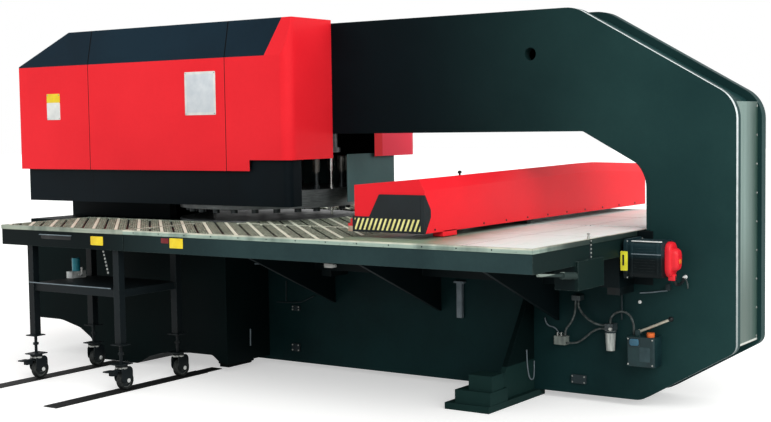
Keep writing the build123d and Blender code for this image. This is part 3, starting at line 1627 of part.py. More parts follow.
with BuildPart() as service_hoses:
    for route in hose_routes:
        route_radii = largest_radii(route)
        print("hose radii", [round(radius) for radius in route_radii])
        with BuildLine(Plane.XZ.offset(-hose_y)) as route_line:
            FilletPolyline(*route, radius=route_radii)
        with BuildSketch(Plane(origin=route_line.line @ 0, z_dir=route_line.line % 0)):
            Circle(hose_radius)
        sweep(path=route_line.line)
service_hoses.part.label = "service_hoses"
export_step(service_hoses.part, "parts/service_hoses.step")

# Air valve on the left rail of the cart
valve_y = valve_setback - table_half_depth
with BuildPart() as shelf_valve:
    with BuildSketch(Plane.XY.offset(cart_rail_top)):
        with Locations((valve_x, valve_y)):
            Rectangle(valve_block_width, valve_block_length)
    extrude(amount=valve_block_height)
    with BuildSketch(Plane.XY.offset(cart_rail_top + valve_block_height)):
        with Locations((valve_x, valve_y)):
            Circle(valve_bowl_radius)
    extrude(amount=valve_bowl_height)
shelf_valve.part.label = "shelf_valve"
export_step(shelf_valve.part, "parts/shelf_valve.step")
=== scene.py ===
import math
import bpy
import numpy as np
from mathutils import Matrix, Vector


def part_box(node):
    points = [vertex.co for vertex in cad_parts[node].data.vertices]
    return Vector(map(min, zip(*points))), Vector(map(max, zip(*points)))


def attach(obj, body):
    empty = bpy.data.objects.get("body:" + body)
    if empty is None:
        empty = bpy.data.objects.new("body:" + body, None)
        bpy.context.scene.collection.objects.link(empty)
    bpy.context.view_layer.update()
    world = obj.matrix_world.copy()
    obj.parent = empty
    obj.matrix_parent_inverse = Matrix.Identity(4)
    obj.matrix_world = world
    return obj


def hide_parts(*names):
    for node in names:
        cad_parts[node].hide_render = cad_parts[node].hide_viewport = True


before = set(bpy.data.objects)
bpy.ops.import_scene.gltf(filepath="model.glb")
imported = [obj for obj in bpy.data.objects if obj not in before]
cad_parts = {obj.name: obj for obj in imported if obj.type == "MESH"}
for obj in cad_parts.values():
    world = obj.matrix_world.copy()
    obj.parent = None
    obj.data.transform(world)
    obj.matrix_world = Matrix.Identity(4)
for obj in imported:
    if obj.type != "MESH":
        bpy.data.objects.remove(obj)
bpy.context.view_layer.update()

print("frame loaded:", len(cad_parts), "nodes")

cameraSpot = {
    "place": (4.5584, -6.5564, 1.480),  # metres, in the frame of the machine
    "yaw": 34.25,  # degrees, turned left from +Y
    "pitch": 3.74,  # looking down
    "roll": -0.81,
    "focal": 1333.8,  # pixels
    "centre": (400.7, 211.7),  # where the optical axis meets the picture
    "picture": (771, 422),
    "sensor": 36.0,
    "clip": (0.05, 200),
}


# the matrix whose columns are an object's own right, up and back directions, and its place
def standing(right, up, back, place=(0, 0, 0)):
    matrix = np.eye(4)
    matrix[:3] = np.stack([right, up, back, place], -1)
    return Matrix(matrix.tolist())


def linked(name, data):
    thing = bpy.data.objects.new(name, data)
    bpy.context.scene.collection.objects.link(thing)
    return thing


# the optical axis comes from yaw and pitch, and the picture's right and up are turned about it by the roll
def placeCamera(spot):
    yaw, pitch, roll = (math.radians(spot[key]) for key in ("yaw", "pitch", "roll"))
    ahead = np.array([-math.sin(yaw) * math.cos(pitch), math.cos(yaw) * math.cos(pitch), -math.sin(pitch)])
    level = np.array([math.cos(yaw), math.sin(yaw), 0.0])
    upright = np.cross(level, ahead)
    right = math.cos(roll) * level + math.sin(roll) * upright
    up = -math.sin(roll) * level + math.cos(roll) * upright
    lens = bpy.data.cameras.new("camera")
    width, height = spot["picture"]
    lens.sensor_width = spot["sensor"]
    lens.lens = spot["focal"] * spot["sensor"] / width
    lens.shift_x = -(spot["centre"][0] - width / 2) / width
    lens.shift_y = (spot["centre"][1] - height / 2) / width
    lens.clip_start, lens.clip_end = spot["clip"]
    camera = linked("camera", lens)
    camera.matrix_world = standing(right, up, -ahead, spot["place"])
    bpy.context.scene.camera = camera


placeCamera(cameraSpot)
bpy.context.scene.view_settings.view_transform = "Standard"
print("camera placed")


# screen values 0 to 255 as the linear colour that nodes use
def linear(red, green, blue):
    share = np.array([red, green, blue], float) / 255
    low, high = share / 12.92, ((share + 0.055) / 1.055) ** 2.4
    return (*np.where(share <= 0.04045, low, high).tolist(), 1.0)


# short words for the nodes of one material; a value may be a number or a socket, and a tone screen values or a socket
class Graph:
    def __init__(self, name):
        self.material = bpy.data.materials.new(name)
        self.material.use_nodes = True
        self.nodes = self.material.node_tree.nodes
        self.links = self.material.node_tree.links
        self.shader = self.nodes["Principled BSDF"]
        self.spot = self.node("TexCoord", {}, "Object")
        self.x, self.y, self.z = self.axes(self.spot)

    def feed(self, socket, value):
        if isinstance(value, bpy.types.NodeSocket):
            self.links.new(value, socket)
        elif value is not None:
            socket.default_value = value

    def node(self, kind, inputs, output=0, **settings):
        made = self.nodes.new("ShaderNode" + kind)
        for key, value in settings.items():
            setattr(made, key, value)
        for key, value in inputs.items():
            self.feed(made.inputs[key], value)
        return made.outputs[output]

    def axes(self, vector):
        made = self.nodes.new("ShaderNodeSeparateXYZ")
        self.feed(made.inputs[0], vector)
        return made.outputs[0:3]

    def math(self, operation, *values, clamp=False):
        return self.node("Math", dict(enumerate(values)), operation=operation, use_clamp=clamp)

    def plus(self, first, second, clamp=False):
        return self.math("ADD", first, second, clamp=clamp)

    def minus(self, first, second):
        return self.math("SUBTRACT", first, second)

    def times(self, first, *others):
        for other in others:
            first = self.math("MULTIPLY", first, other)
        return first

    def most(self, first, *others):
        for other in others:
            first = self.math("MAXIMUM", first, other)
        return first

    def above(self, value, limit):
        return self.math("GREATER_THAN", value, limit)

    def below(self, value, limit):
        return self.math("LESS_THAN", value, limit)

    def between(self, value, low, high):
        return self.times(self.above(value, low), self.below(value, high))

    def span(self, value, low, high, toLow=0.0, toHigh=1.0, smooth=False):
        limits = {"Value": value, "From Min": low, "From Max": high, "To Min": toLow, "To Max": toHigh}
        return self.node("MapRange", limits, "Result", interpolation_type="SMOOTHSTEP" if smooth else "LINEAR")

    def placed(self, scale, turn=(0, 0, 0)):
        angles = [math.radians(angle) for angle in turn]
        return self.node("Mapping", {"Vector": self.spot, "Scale": scale, "Rotation": angles})

    def noise(self, scale, detail=3.0, rough=0.55, vector=None, warp=0.0):
        looks = {"Vector": vector or self.spot, "Scale": scale, "Detail": detail, "Roughness": rough, "Distortion": warp}
        return self.node("TexNoise", looks, "Fac")

    # noise drawn out along the axes that have the small scales
    def streaks(self, scale, detail=5.0, rough=0.6, turn=(0, 0, 0)):
        return self.noise(1.0, detail, rough, self.placed(scale, turn))

    def mix(self, share, first, second):
        first, second = (linear(*tone) if isinstance(tone, tuple) else tone for tone in (first, second))
        return self.node("Mix", {"Factor": share, 6: first, 7: second}, 2, data_type="RGBA", clamp_factor=True)

    def tones(self, pattern, first, second, low=0.3, high=0.7):
        return self.mix(self.span(pattern, low, high), first, second)

    def bump(self, height, distance, strength=0.5, normal=None):
        return self.node("Bump", {"Height": height, "Distance": distance, "Strength": strength, "Normal": normal})

    def softEdge(self, radius):
        return self.node("Bevel", {"Radius": radius}, samples=4)

    def trueNormal(self):
        return self.node("NewGeometry", {}, "True Normal")

    # 1 near a sharp edge: how far the rounded normal leans from the true one
    def edge(self, rounded):
        lean = self.node("VectorMath", {0: rounded, 1: self.trueNormal()}, "Value", operation="DOT_PRODUCT")
        return self.span(self.minus(1.0, lean), 0.02, 0.2)

    def surface(self, tone, roughness, normal, specular, metallic=0.0):
        tone = linear(*tone) if isinstance(tone, tuple) else tone
        keys = ("Base Color", "Roughness", "Normal", "Specular IOR Level", "Metallic")
        for key, value in zip(keys, (tone, roughness, normal, specular, metallic)):
            self.feed(self.shader.inputs[key], value)
        return self.material

    # gloss follows a pattern, and a grain, or a fine noise of the given scale, is the bump over softly rounded edges
    def finished(self, tone, pattern, gloss, grain, depth, specular, soft=0.002, strength=0.5, metallic=0.0):
        grain = grain if isinstance(grain, bpy.types.NodeSocket) else self.noise(grain, 2.0)
        roughness = self.span(pattern, 0.3, 0.7, *gloss)
        normal = self.bump(grain, depth, strength, self.softEdge(soft) if soft else None)
        return self.surface(tone, roughness, normal, specular, metallic)


paints = {  # tone, shade, worn edge with painted highlight and how much of it, gloss range, scale and depth of the orange peel, specular
    "frameEnamel": ((7, 19, 23), (4, 14, 17), (72, 92, 94), 0.5, (0.36, 0.5), 420, 0.0004, 0.035),
    "footEnamel": ((9, 22, 22), (6, 15, 16), (44, 58, 60), 0.5, (0.42, 0.6), 380, 0.0005, 0.025),
    "tableUnder": ((8, 19, 21), (5, 14, 16), (40, 52, 54), 0.5, (0.42, 0.6), 380, 0.0005, 0.08),
    "coverRed": ((240, 40, 50), (230, 33, 44), (246, 110, 104), 0.35, (0.32, 0.46), 520, 0.0003, 0.09),
    "capBlack": ((20, 40, 52), (14, 31, 42), (66, 82, 92), 0.4, (0.4, 0.56), 460, 0.0004, 0.05),
    "nearSkirt": ((13, 22, 27), (8, 15, 19), (60, 74, 80), 0.4, (0.42, 0.56), 460, 0.0004, 0.05),
    "farSkirt": ((82, 110, 110), (68, 94, 95), (104, 124, 124), 0.4, (0.42, 0.56), 460, 0.0004, 0.12),
    "tableSlate": ((44, 64, 65), (32, 49, 51), (112, 130, 126), 0.6, (0.4, 0.56), 460, 0.0004, 0.05),
    "cartBlack": ((17, 25, 28), (9, 14, 16), (84, 96, 96), 0.6, (0.38, 0.55), 500, 0.0004, 0.12),
    "motorBlack": ((26, 50, 55), (18, 38, 43), (74, 88, 88), 0.6, (0.45, 0.62), 700, 0.0005, 0.12),
    "castGrey": ((46, 58, 61), (26, 35, 38), (110, 120, 120), 0.5, (0.5, 0.68), 900, 0.0008, 0.15),
    "girderGrey": ((22, 28, 30), (13, 17, 19), (70, 80, 82), 0.5, (0.42, 0.58), 600, 0.0005, 0.12),
}
columnPaintedLight = {  # painted light: the frame's navy turns to a lighter teal over x when high up, over x when low down, and the heights between
    "high": (0.2, 2.0), "low": (1.5, 2.12), "turn": (0.5, 1.0), "tones": ((27, 54, 54), (35, 64, 63)),
}
# painted light: the frame turns a lighter teal low down, below these heights
lowerWallLight = {"heights": (0.35, 0.95), "tones": ((13, 33, 34), (22, 48, 49))}
rimHighlight = {  # painted highlight along the edge of the near plate, on its top and right sides
    "depth": (-0.2145, -0.188), "left": 1.33, "outer": (1.9, 1.5), "heights": (0.3, 1.5), "tone": (214, 222, 222),
}
apronShade = {"reach": (-1.15, 0.0), "tone": (10, 19, 20)}  # painted shade: the aprons darken to the left
tableEnd = {  # right end of the table: a ribbed box, its end face darkened as painted shade, and the stay in front with a pale top
    "left": 1.5, "top": 0.8005, "front": -0.9155, "ribs": 26.0, "ribTones": ((7, 15, 16), (13, 25, 26)),
    "face": 1.7075, "faceShade": (15, 31, 30),
    "stay": (1.685, 1.7295), "stayTop": 0.8, "stayTurn": 0.783, "stayTones": ((44, 56, 54), (128, 140, 132)),
}
# painted light: the right foot box a lighter teal
footBoxLight = {"left": 0.5, "top": 0.2, "tones": ((17, 36, 34), (25, 47, 45))}
# painted shade: the motor darker below its middle
motorUnderShade = {"heights": (0.79, 0.82), "tone": (7, 16, 18)}
seams = {
    "half": 0.0022, "capTimes": 1.9, "places": (-1.868, -0.716), "tone": (9, 10, 12),
    "paints": ("coverRed", "capBlack", "nearSkirt", "farSkirt"),
}
# painted shade: faces of the covers that look inwards, near black
coverInsideShade = {"lean": -0.1, "right": -0.2, "tone": (10, 10, 12)}
# painted light: the far cover's right end face made brighter
coverFarEndLight = {"at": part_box("head_cover_far")[1][0], "half": 0.002, "behind": 0.3, "tone": (255, 66, 88)}


# two tones mixed by soft clouds, painted light and shade on some paints, edges worn and lit as painted highlight where
# the rounded normal leans, and orange peel as the bump
def makePaint(name, tone, shade, wearAndHighlight, wornAndLitShare, gloss, peel, depth, specular):
    g = Graph(name)
    x, y, z = g.x, g.y, g.z
    clouds, fine = g.noise(1.3, 4.0), g.noise(peel * 0.09, 5.0)
    blend = g.plus(g.span(clouds, 0.35, 0.65), g.span(fine, 0.2, 0.8, -0.15, 0.15), clamp=True)
    tone = g.mix(blend, shade, tone)
    # painted light on the frame: lighter teal low down and towards the column
    if name == "frameEnamel":
        look = columnPaintedLight
        high, low, lift = (g.span(axis, *look[key], smooth=True) for axis, key in ((x, "high"), (x, "low"), (z, "turn")))
        share = g.plus(g.times(high, lift), g.times(low, g.minus(1.0, lift)))
        wall = g.span(z, *lowerWallLight["heights"], 1.0, 0.0, smooth=True)
        tone = g.mix(wall, tone, g.mix(blend, *lowerWallLight["tones"]))
        tone = g.mix(share, tone, g.mix(blend, *look["tones"]))
    # painted shade on the table: darker to the left and on the right end face
    if name == "tableSlate":
        look = tableEnd
        tone = g.mix(g.span(x, *apronShade["reach"], 1.0, 0.0, smooth=True), tone, apronShade["tone"])
        stay = g.times(g.between(x, *look["stay"]), g.below(y, look["front"]), g.below(z, look["stayTop"]))
        box = g.times(g.above(x, look["left"]), g.below(z, look["top"]), g.above(y, look["front"]))
        ribs = g.below(g.math("FRACT", g.times(y, look["ribs"])), 0.5)
        tone = g.mix(box, tone, g.mix(ribs, *look["ribTones"]))
        tone = g.mix(g.above(x, look["face"]), tone, look["faceShade"])
        tone = g.mix(stay, tone, g.mix(g.above(z, look["stayTurn"]), *look["stayTones"]))
    # painted light on the right foot box
    if name == "footEnamel":
        box = g.times(g.above(x, footBoxLight["left"]), g.below(z, footBoxLight["top"]))
        tone = g.mix(box, tone, g.mix(blend, *footBoxLight["tones"]))
    # painted shade on the motor below its middle
    if name == "motorBlack":
        tone = g.mix(g.span(z, *motorUnderShade["heights"], 1.0, 0.0), tone, motorUnderShade["tone"])
    # edges worn, and lit as painted highlight, where the rounded normal leans
    rounded = g.softEdge(0.004)
    wornAndLitEdge = g.times(g.edge(rounded), g.span(g.noise(60, 4.0), 0.42, 0.62), wornAndLitShare)
    tone = g.mix(wornAndLitEdge, tone, wearAndHighlight)
    if name in seams["paints"]:
        half = seams["half"] * (seams["capTimes"] if name == "capBlack" else 1.0)
        gap = g.most(*(g.between(x, place - half, place + half) for place in seams["places"]))
        tone = g.mix(gap, tone, seams["tone"])
    # painted shade on the covers' inward faces
    if name == "coverRed":
        turned = g.times(g.axes(g.trueNormal())[1], y)
        inner = g.times(g.below(turned, coverInsideShade["lean"]), g.below(x, coverInsideShade["right"]))
        tone = g.mix(inner, tone, coverInsideShade["tone"])
        # painted light on the far cover's right end face
        look = coverFarEndLight
        end = g.between(x, look["at"] - look["half"], look["at"] + look["half"])
        tone = g.mix(g.times(g.above(y, look["behind"]), end), tone, look["tone"])
    # painted highlight on the near plate's rim
    if name == "frameEnamel":
        facing = g.math("ABSOLUTE", g.axes(g.trueNormal())[1])
        rim = g.times(g.below(facing, 0.5), g.between(y, *rimHighlight["depth"]), g.above(x, rimHighlight["left"]))
        outer = g.most(g.above(x, rimHighlight["outer"][0]), g.above(z, rimHighlight["outer"][1]))
        rim = g.times(rim, outer, g.span(z, *rimHighlight["heights"], 0.35, 1.0))
        tone = g.mix(g.times(rim, g.span(g.noise(26, 4.0), 0.25, 0.5, 0.6, 1.0)), tone, rimHighlight["tone"])
    scuff = g.span(g.noise(9, 6.0, 0.7, warp=1.2), 0.55, 0.8)
    roughness = g.plus(g.span(clouds, 0.3, 0.7, *gloss), g.times(scuff, 0.12))
    peelHeight = g.plus(g.noise(peel, 2.0), g.times(g.noise(3.5, 2.0), 6.0))
    return g.surface(tone, roughness, g.bump(peelHeight, depth, 0.5, rounded), specular)


finishes = {name: makePaint(name, *look) for name, look in paints.items()}

metals = {  # bare metal: tone, shade, roughness range, how the brushing is stretched along x, y, z, and how metallic
    "turnedSteel": ((120, 124, 124), (72, 77, 79), (0.3, 0.46), (14, 14, 240), 0.9),
    "darkSteel": ((58, 64, 66), (30, 35, 37), (0.38, 0.54), (90, 90, 90), 0.7),
    "groundSteel": ((176, 176, 170), (120, 122, 120), (0.2, 0.34), (6, 160, 160), 1.0),
    "brightSteel": ((206, 206, 202), (150, 152, 150), (0.14, 0.26), (60, 60, 60), 1.0),
    "trackSteel": ((13, 15, 15), (6, 8, 8), (0.6, 0.75), (40, 40, 40), 0.1),
    "zincPlate": ((190, 192, 186), (138, 142, 140), (0.3, 0.46), (70, 70, 70), 0.8),
    "leverSteel": ((212, 206, 188), (168, 164, 148), (0.3, 0.46), (40, 90, 90), 0.3),
    "blackOxide": ((44, 48, 50), (22, 25, 27), (0.34, 0.5), (90, 90, 90), 0.6),
}


# brushed streaks: noise stretched across the brushing direction, over slow tarnish clouds
def makeMetal(name, tone, shade, gloss, grain, metallic):
    g = Graph(name)
    streak, tarnish = g.streaks(grain, 6.0, 0.65), g.noise(5.0, 5.0, 0.6)
    tone = g.tones(streak, shade, tone)
    tone = g.mix(g.span(tarnish, 0.45, 0.8, 0.0, 0.45), tone, tuple(0.6 * part for part in shade))
    roughness = g.plus(g.span(streak, 0.3, 0.7, *gloss), g.span(tarnish, 0.5, 0.8, 0.0, 0.12))
    return g.surface(tone, roughness, g.bump(streak, 0.0002, 0.5, g.softEdge(0.0015)), 0.3, metallic)


finishes |= {name: makeMetal(name, *look) for name, look in metals.items()}

plastics = {  # moulded plastic or smooth enamel: two near tones and the roughness range
    "capRed": ((232, 40, 50), (216, 28, 42), (0.28, 0.42)),
    "yellowPlate": ((242, 216, 46), (228, 196, 34), (0.34, 0.5)),
    "limePlate": ((240, 236, 64), (222, 214, 46), (0.34, 0.5)),
    "darkRedPlate": ((120, 26, 30), (96, 18, 24), (0.34, 0.5)),
    "palePlate": ((232, 232, 228), (208, 212, 210), (0.34, 0.5)),
    "greyPlate": ((214, 220, 224), (198, 206, 212), (0.4, 0.55)),
    "dullPlate": ((52, 74, 78), (38, 58, 62), (0.4, 0.55)),
    "postGrey": ((122, 134, 140), (100, 113, 120), (0.4, 0.55)),
    "blueGlass": ((58, 104, 126), (28, 66, 84), (0.12, 0.22)),
    "orangeCap": ((236, 140, 48), (214, 108, 36), (0.28, 0.42)),
    "blackPlastic": ((22, 25, 27), (12, 14, 16), (0.34, 0.5)),
}


# soft clouds between the two tones, and fine sparks as the bump
def makePlastic(name, first, second, gloss):
    g = Graph(name)
    clouds = g.noise(14, 4.0)
    return g.finished(g.tones(clouds, first, second, 0.35, 0.65), clouds, gloss, 900, 0.0002, 0.25, strength=0.4)


finishes |= {name: makePlastic(name, *look) for name, look in plastics.items()}

rearPanel = {"heights": (0.5, 1.05), "far": (-0.05, 0.13), "line": (0.337, 0.352)}


# pale enamel panel: greener towards its far edge, faint vertical streaks where dust ran down, a pale line near its foot
def makePanel(g):
    runs = g.streaks((30, 30, 1.2))
    tone = g.mix(g.span(g.z, *rearPanel["heights"], smooth=True), (80, 98, 91), (112, 135, 129))
    tone = g.mix(g.span(g.y, *rearPanel["far"], smooth=True), tone, (50, 74, 67))
    tone = g.mix(g.span(runs, 0.5, 0.8, 0.0, 0.5), tone, (84, 104, 98))
    tone = g.mix(g.between(g.z, *rearPanel["line"]), tone, (196, 200, 192))
    return g.finished(tone, runs, (0.36, 0.52), 480, 0.0003, 0.2, 0.004)


plateJoints = {"half": 0.002, "across": (0.95, 1.33), "along": (-0.642, 0.642)}


# pale plates of the right field: slow stains, sliding marks along y, greyer towards the near edge, dark joints
def makeDeckPlate(g):
    slide, stain = g.streaks((70, 5, 5)), g.noise(2.2, 5.0, 0.6, warp=0.6)
    tone = g.tones(stain, (236, 250, 242), (247, 255, 252), 0.35, 0.68)
    tone = g.mix(g.span(slide, 0.52, 0.8, 0.0, 0.5), tone, (186, 192, 174))
    nearness = g.plus(g.plus(g.x, g.times(g.y, 0.35)), g.span(stain, 0.3, 0.7, -0.05, 0.05))
    tone = g.mix(g.span(nearness, 0.66, 1.08, 0.9, 0.0, smooth=True), tone, (108, 128, 98))
    half = plateJoints["half"]
    joints = [g.between(g.x, place - half, place + half) for place in plateJoints["across"]]
    joints += [g.between(g.y, place - 2 * half, place + 2 * half) for place in plateJoints["along"]]
    tone = g.mix(g.most(*joints), tone, (92, 98, 88))
    return g.finished(tone, slide, (0.32, 0.5), g.noise(240, 3.0), 0.0002, 0.4)


barRun = {"scale": (12, 90, 20), "turn": (0, 0, -45)}


# pale sheet supports: ivory plastic with grey rub marks along their 45 degree run
def makeBars(g):
    rub = g.streaks(barRun["scale"], turn=barRun["turn"])
    tone = g.tones(rub, (246, 250, 230), (206, 212, 188), 0.4, 0.75)
    return g.finished(tone, rub, (0.36, 0.55), rub, 0.0004, 0.3)


brushes = {"tufts": 80, "loose": 0.4, "rowStep": 0.052, "rowShare": 0.16, "rowStart": 9.0}


# brush field: rows of round tufts turned 45 degrees, each a different grey, with dark gaps and dark cross rows
def makeBristles(g):
    turned = g.placed((1, 1, 0.001), barRun["turn"])
    looks = {"Vector": turned, "Scale": brushes["tufts"], "Randomness": brushes["loose"]}
    tuft, shade = (g.node("TexVoronoi", looks, output) for output in ("Distance", "Color"))
    tone = g.mix(g.axes(shade)[0], (112, 124, 106), (206, 214, 190))
    tone = g.mix(g.span(tuft, 0.34, 0.62), tone, (40, 46, 40))
    row = g.math("DIVIDE", g.plus(g.axes(turned)[1], brushes["rowStart"]), brushes["rowStep"])
    tone = g.mix(g.below(g.math("FRACT", row), brushes["rowShare"]), tone, (26, 31, 28))
    hairs = g.noise(900, 2.0)
    tone = g.mix(g.span(hairs, 0.45, 0.75, 0.0, 0.5), tone, (70, 76, 66))
    height = g.plus(g.minus(1.0, tuft), g.times(hairs, 0.3))
    return g.surface(tone, 0.85, g.bump(height, 0.004, 0.8), 0.15)


edgeStrip = {
    "drawn": (3, 3, 420), "stretch": (7, 7, 0.5), "lip": 0.9105, "end": 1.7075, "endTop": 0.9172, "endFar": (-1.3, -0.95),
}


# two tones by the lines drawn along the strip, and then its stained stretches over them
def drawnStrip(g, first, second, stained):
    drawn, stretch = g.streaks(edgeStrip["drawn"], 4.0), g.streaks(edgeStrip["stretch"], 3.0)
    tone = g.tones(drawn, first, second)
    return drawn, stretch, g.mix(g.span(stretch, 0.45, 0.65, 0.0, 0.7), tone, stained)


# pale aluminium edge strip: drawn lines, small knocks and stained stretches, a painted highlight on its top lip, and
# painted shade on the right end, deeper towards the back
def makeTrim(g):
    look = edgeStrip
    drawn, stretch, tone = drawnStrip(g, (106, 130, 120), (180, 200, 186), (80, 98, 90))
    tone = g.mix(g.span(g.noise(45, 5.0, 0.7), 0.6, 0.74), tone, (80, 92, 82))
    # painted highlight on the top lip
    tone = g.mix(g.times(g.above(g.z, look["lip"]), g.span(stretch, 0.35, 0.6, 0.85, 0.3)), tone, (216, 216, 196))
    # painted shade on the right end, deeper towards the back
    rear = g.times(g.above(g.x, look["end"]), g.span(g.y, *look["endFar"], 0.2, 0.94, smooth=True))
    tone = g.mix(g.times(rear, g.below(g.z, look["endTop"])), tone, (20, 38, 36))
    return g.finished(tone, drawn, (0.34, 0.5), drawn, 0.0004, 0.3, metallic=0.2)


hazard = {"pitch": 0.0275, "lean": 0.42, "share": 0.44, "start": 2.0, "heights": (0.958, 1.016), "reach": (0.606, 1.0)}


# slanted stripes: the fraction of (x - lean z) over the pitch, cream inside a window, black elsewhere
def makeHazard(g):
    slanted = g.plus(g.minus(g.x, g.times(g.z, hazard["lean"])), hazard["start"])
    saw = g.math("FRACT", g.math("DIVIDE", slanted, hazard["pitch"]))
    window = g.times(g.between(g.z, *hazard["heights"]), g.between(g.x, *hazard["reach"]))
    grime = g.noise(28, 5.0, 0.65)
    cream = g.tones(grime, (246, 238, 158), (214, 204, 120), 0.45, 0.7)
    black = g.tones(g.noise(4, 3.0), (13, 18, 20), (22, 32, 36))
    tone = g.mix(g.times(g.below(saw, hazard["share"]), window), black, cream)
    return g.finished(tone, grime, (0.34, 0.5), 500, 0.0003, 0.2, strength=0.4)


wheelBoxes = [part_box(f"caster_wheel_{number}") for number in (1, 2, 3, 4)]
wheelMiddles = sorted({round(float(low[1] + high[1]) / 2, 4) for low, high in wheelBoxes})
wheelLift = sum(corner[2] for corner in wheelBoxes[0]) / 2
wheelRadii = {"web": 0.038, "rim": (0.0365, 0.039), "hub": 0.0185}


# caster wheel: the distance from the nearest axle tells dark tread, a pale rim line, grey web and steel hub apart
def makeWheel(g):
    squares = [g.math("POWER", g.math("ABSOLUTE", g.minus(g.y, middle)), 2.0) for middle in wheelMiddles]
    drop = g.math("POWER", g.math("ABSOLUTE", g.minus(g.z, wheelLift)), 2.0)
    reach = g.plus(squares[0], drop)
    for square in squares[1:]:
        reach = g.math("MINIMUM", reach, g.plus(square, drop))
    reach = g.math("SQRT", reach)
    scuff = g.noise(70, 5.0, 0.7)
    tone = g.tones(scuff, (16, 20, 20), (50, 54, 52), 0.4, 0.7)
    tone = g.mix(g.below(reach, wheelRadii["web"]), tone, (34, 40, 41))
    tone = g.mix(g.between(reach, *wheelRadii["rim"]), tone, (120, 124, 120))
    tone = g.mix(g.below(reach, wheelRadii["hub"]), tone, (128, 134, 132))
    return g.surface(tone, 0.62, g.bump(scuff, 0.0006, 0.6, g.softEdge(0.0015)), 0.2)


# black pneumatic hose: faint dust and a slow sheen
def makeHose(g):
    dust = g.noise(60, 4.0)
    tone = g.tones(dust, (40, 46, 46), (96, 104, 102), 0.4, 0.75)
    return g.finished(tone, dust, (0.36, 0.55), 300, 0.0002, 0.25, soft=0, strength=0.4)


fillerCap = {"above": 0.3815, "right": 1.782}


# lubrication pump: blue-black tank with an orange filler cap
def makePump(g):
    clouds = g.noise(9, 4.0)
    tank = g.tones(clouds, (14, 34, 38), (26, 52, 54), 0.35, 0.65)
    orange = g.tones(clouds, (236, 124, 58), (214, 96, 40), 0.35, 0.65)
    cap = g.times(g.above(g.z, fillerCap["above"]), g.above(g.x, fillerCap["right"]))
    return g.finished(g.mix(cap, tank, orange), clouds, (0.3, 0.45), 600, 0.0003, 0.25, 0.003)


lampLow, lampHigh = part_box("beam_lamp")
splitBodies = {  # two bodies, one above the other: scale of the clouds, height of the split, two tones each, gloss
    "valveCyan": (22, 0.6135, (226, 230, 228), (186, 192, 190), (40, 158, 176), (30, 132, 152), (0.24, 0.4)),
    "signalLamp": (
        24, lampLow[2] + 0.42 * (lampHigh[2] - lampLow[2]),
        (204, 178, 156), (170, 144, 124), (206, 22, 34), (232, 44, 50), (0.2, 0.34),
    ),
}


# shelf valve, a pale block under a cyan bowl, and signal lamp, a beige box under a red lens
def makeSplitBody(name, scale, split, lowFirst, lowSecond, highFirst, highSecond, gloss):
    g = Graph(name)
    clouds = g.noise(scale, 4.0)
    lower = g.tones(clouds, lowFirst, lowSecond, 0.35, 0.65)
    upper = g.tones(clouds, highFirst, highSecond, 0.35, 0.65)
    return g.finished(g.mix(g.above(g.z, split), lower, upper), clouds, gloss, 500, 0.0002, 0.3)


finishes |= {name: makeSplitBody(name, *look) for name, look in splitBodies.items()}

screwBlocks = {"right": (1.6195, 1.6905), "left": (-0.2155, -0.1445), "front": -0.2135}


# ground rails along x, and the painted bearing blocks of the screw told apart by their stretches of x
def makeRail(g):
    streak = g.streaks((6, 160, 160), 6.0, 0.65)
    ground = g.tones(streak, (110, 114, 112), (168, 170, 164))
    painted = g.tones(g.noise(12, 4.0), (10, 16, 17), (18, 27, 29), 0.35, 0.65)
    block = g.most(g.between(g.x, *screwBlocks["right"]), g.between(g.x, *screwBlocks["left"]))
    block = g.times(block, g.below(g.y, screwBlocks["front"]))
    metallic = g.span(block, 0.0, 1.0, 0.9, 0.0)
    return g.finished(g.mix(block, ground, painted), streak, (0.24, 0.44), streak, 0.0002, 0.15, metallic=metallic)


holderTop = (1.185, 1.2)


# punches: blued bodies, and heads above the holder plate worn bright and lightened further as painted light against the
# shade under the head
def makePunch(g):
    streak = g.streaks((60, 60, 20), 6.0, 0.65)
    body = g.tones(streak, (30, 35, 37), (62, 68, 70))
    head = g.tones(streak, (84, 83, 80), (136, 134, 129))
    # heads lightened as painted light against the shade under the head
    tone = g.mix(g.span(g.z, *holderTop), body, head)
    return g.finished(tone, streak, (0.24, 0.42), streak, 0.0002, 0.4, 0.0015, metallic=0.6)


cartRim = {"width": 0.0142, "barTop": 0.9105, "sheetTop": 0.8928}


# deck of the roll-out table: ivory bars on the dark sheet, and a stained pale rim along its edges
def makeCartDeck(g):
    left, near, right, far = *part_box("cart_deck")[0][:2], *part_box("cart_deck")[1][:2]
    rub = g.streaks(barRun["scale"], turn=barRun["turn"])
    bars = g.tones(rub, (240, 240, 220), (186, 186, 164), 0.4, 0.75)
    sheet = g.tones(g.noise(20, 4.0), (12, 18, 19), (26, 34, 35), 0.35, 0.65)
    edge = drawnStrip(g, (118, 130, 118), (182, 190, 172), (84, 98, 90))[2]
    width = cartRim["width"]
    inside = g.times(g.between(g.x, left + width, right - width), g.between(g.y, near + width, far - width))
    rim = g.times(g.minus(1.0, inside), g.above(g.z, cartRim["sheetTop"]))
    tone = g.mix(rim, g.mix(g.above(g.z, cartRim["barTop"]), sheet, bars), edge)
    return g.finished(tone, rub, (0.36, 0.55), rub, 0.0004, 0.25)


airParts = {"bowl": (1.54, 1.61), "bowlTop": 0.3935, "manifold": (1.2, 1.36), "manifoldTop": 0.36}


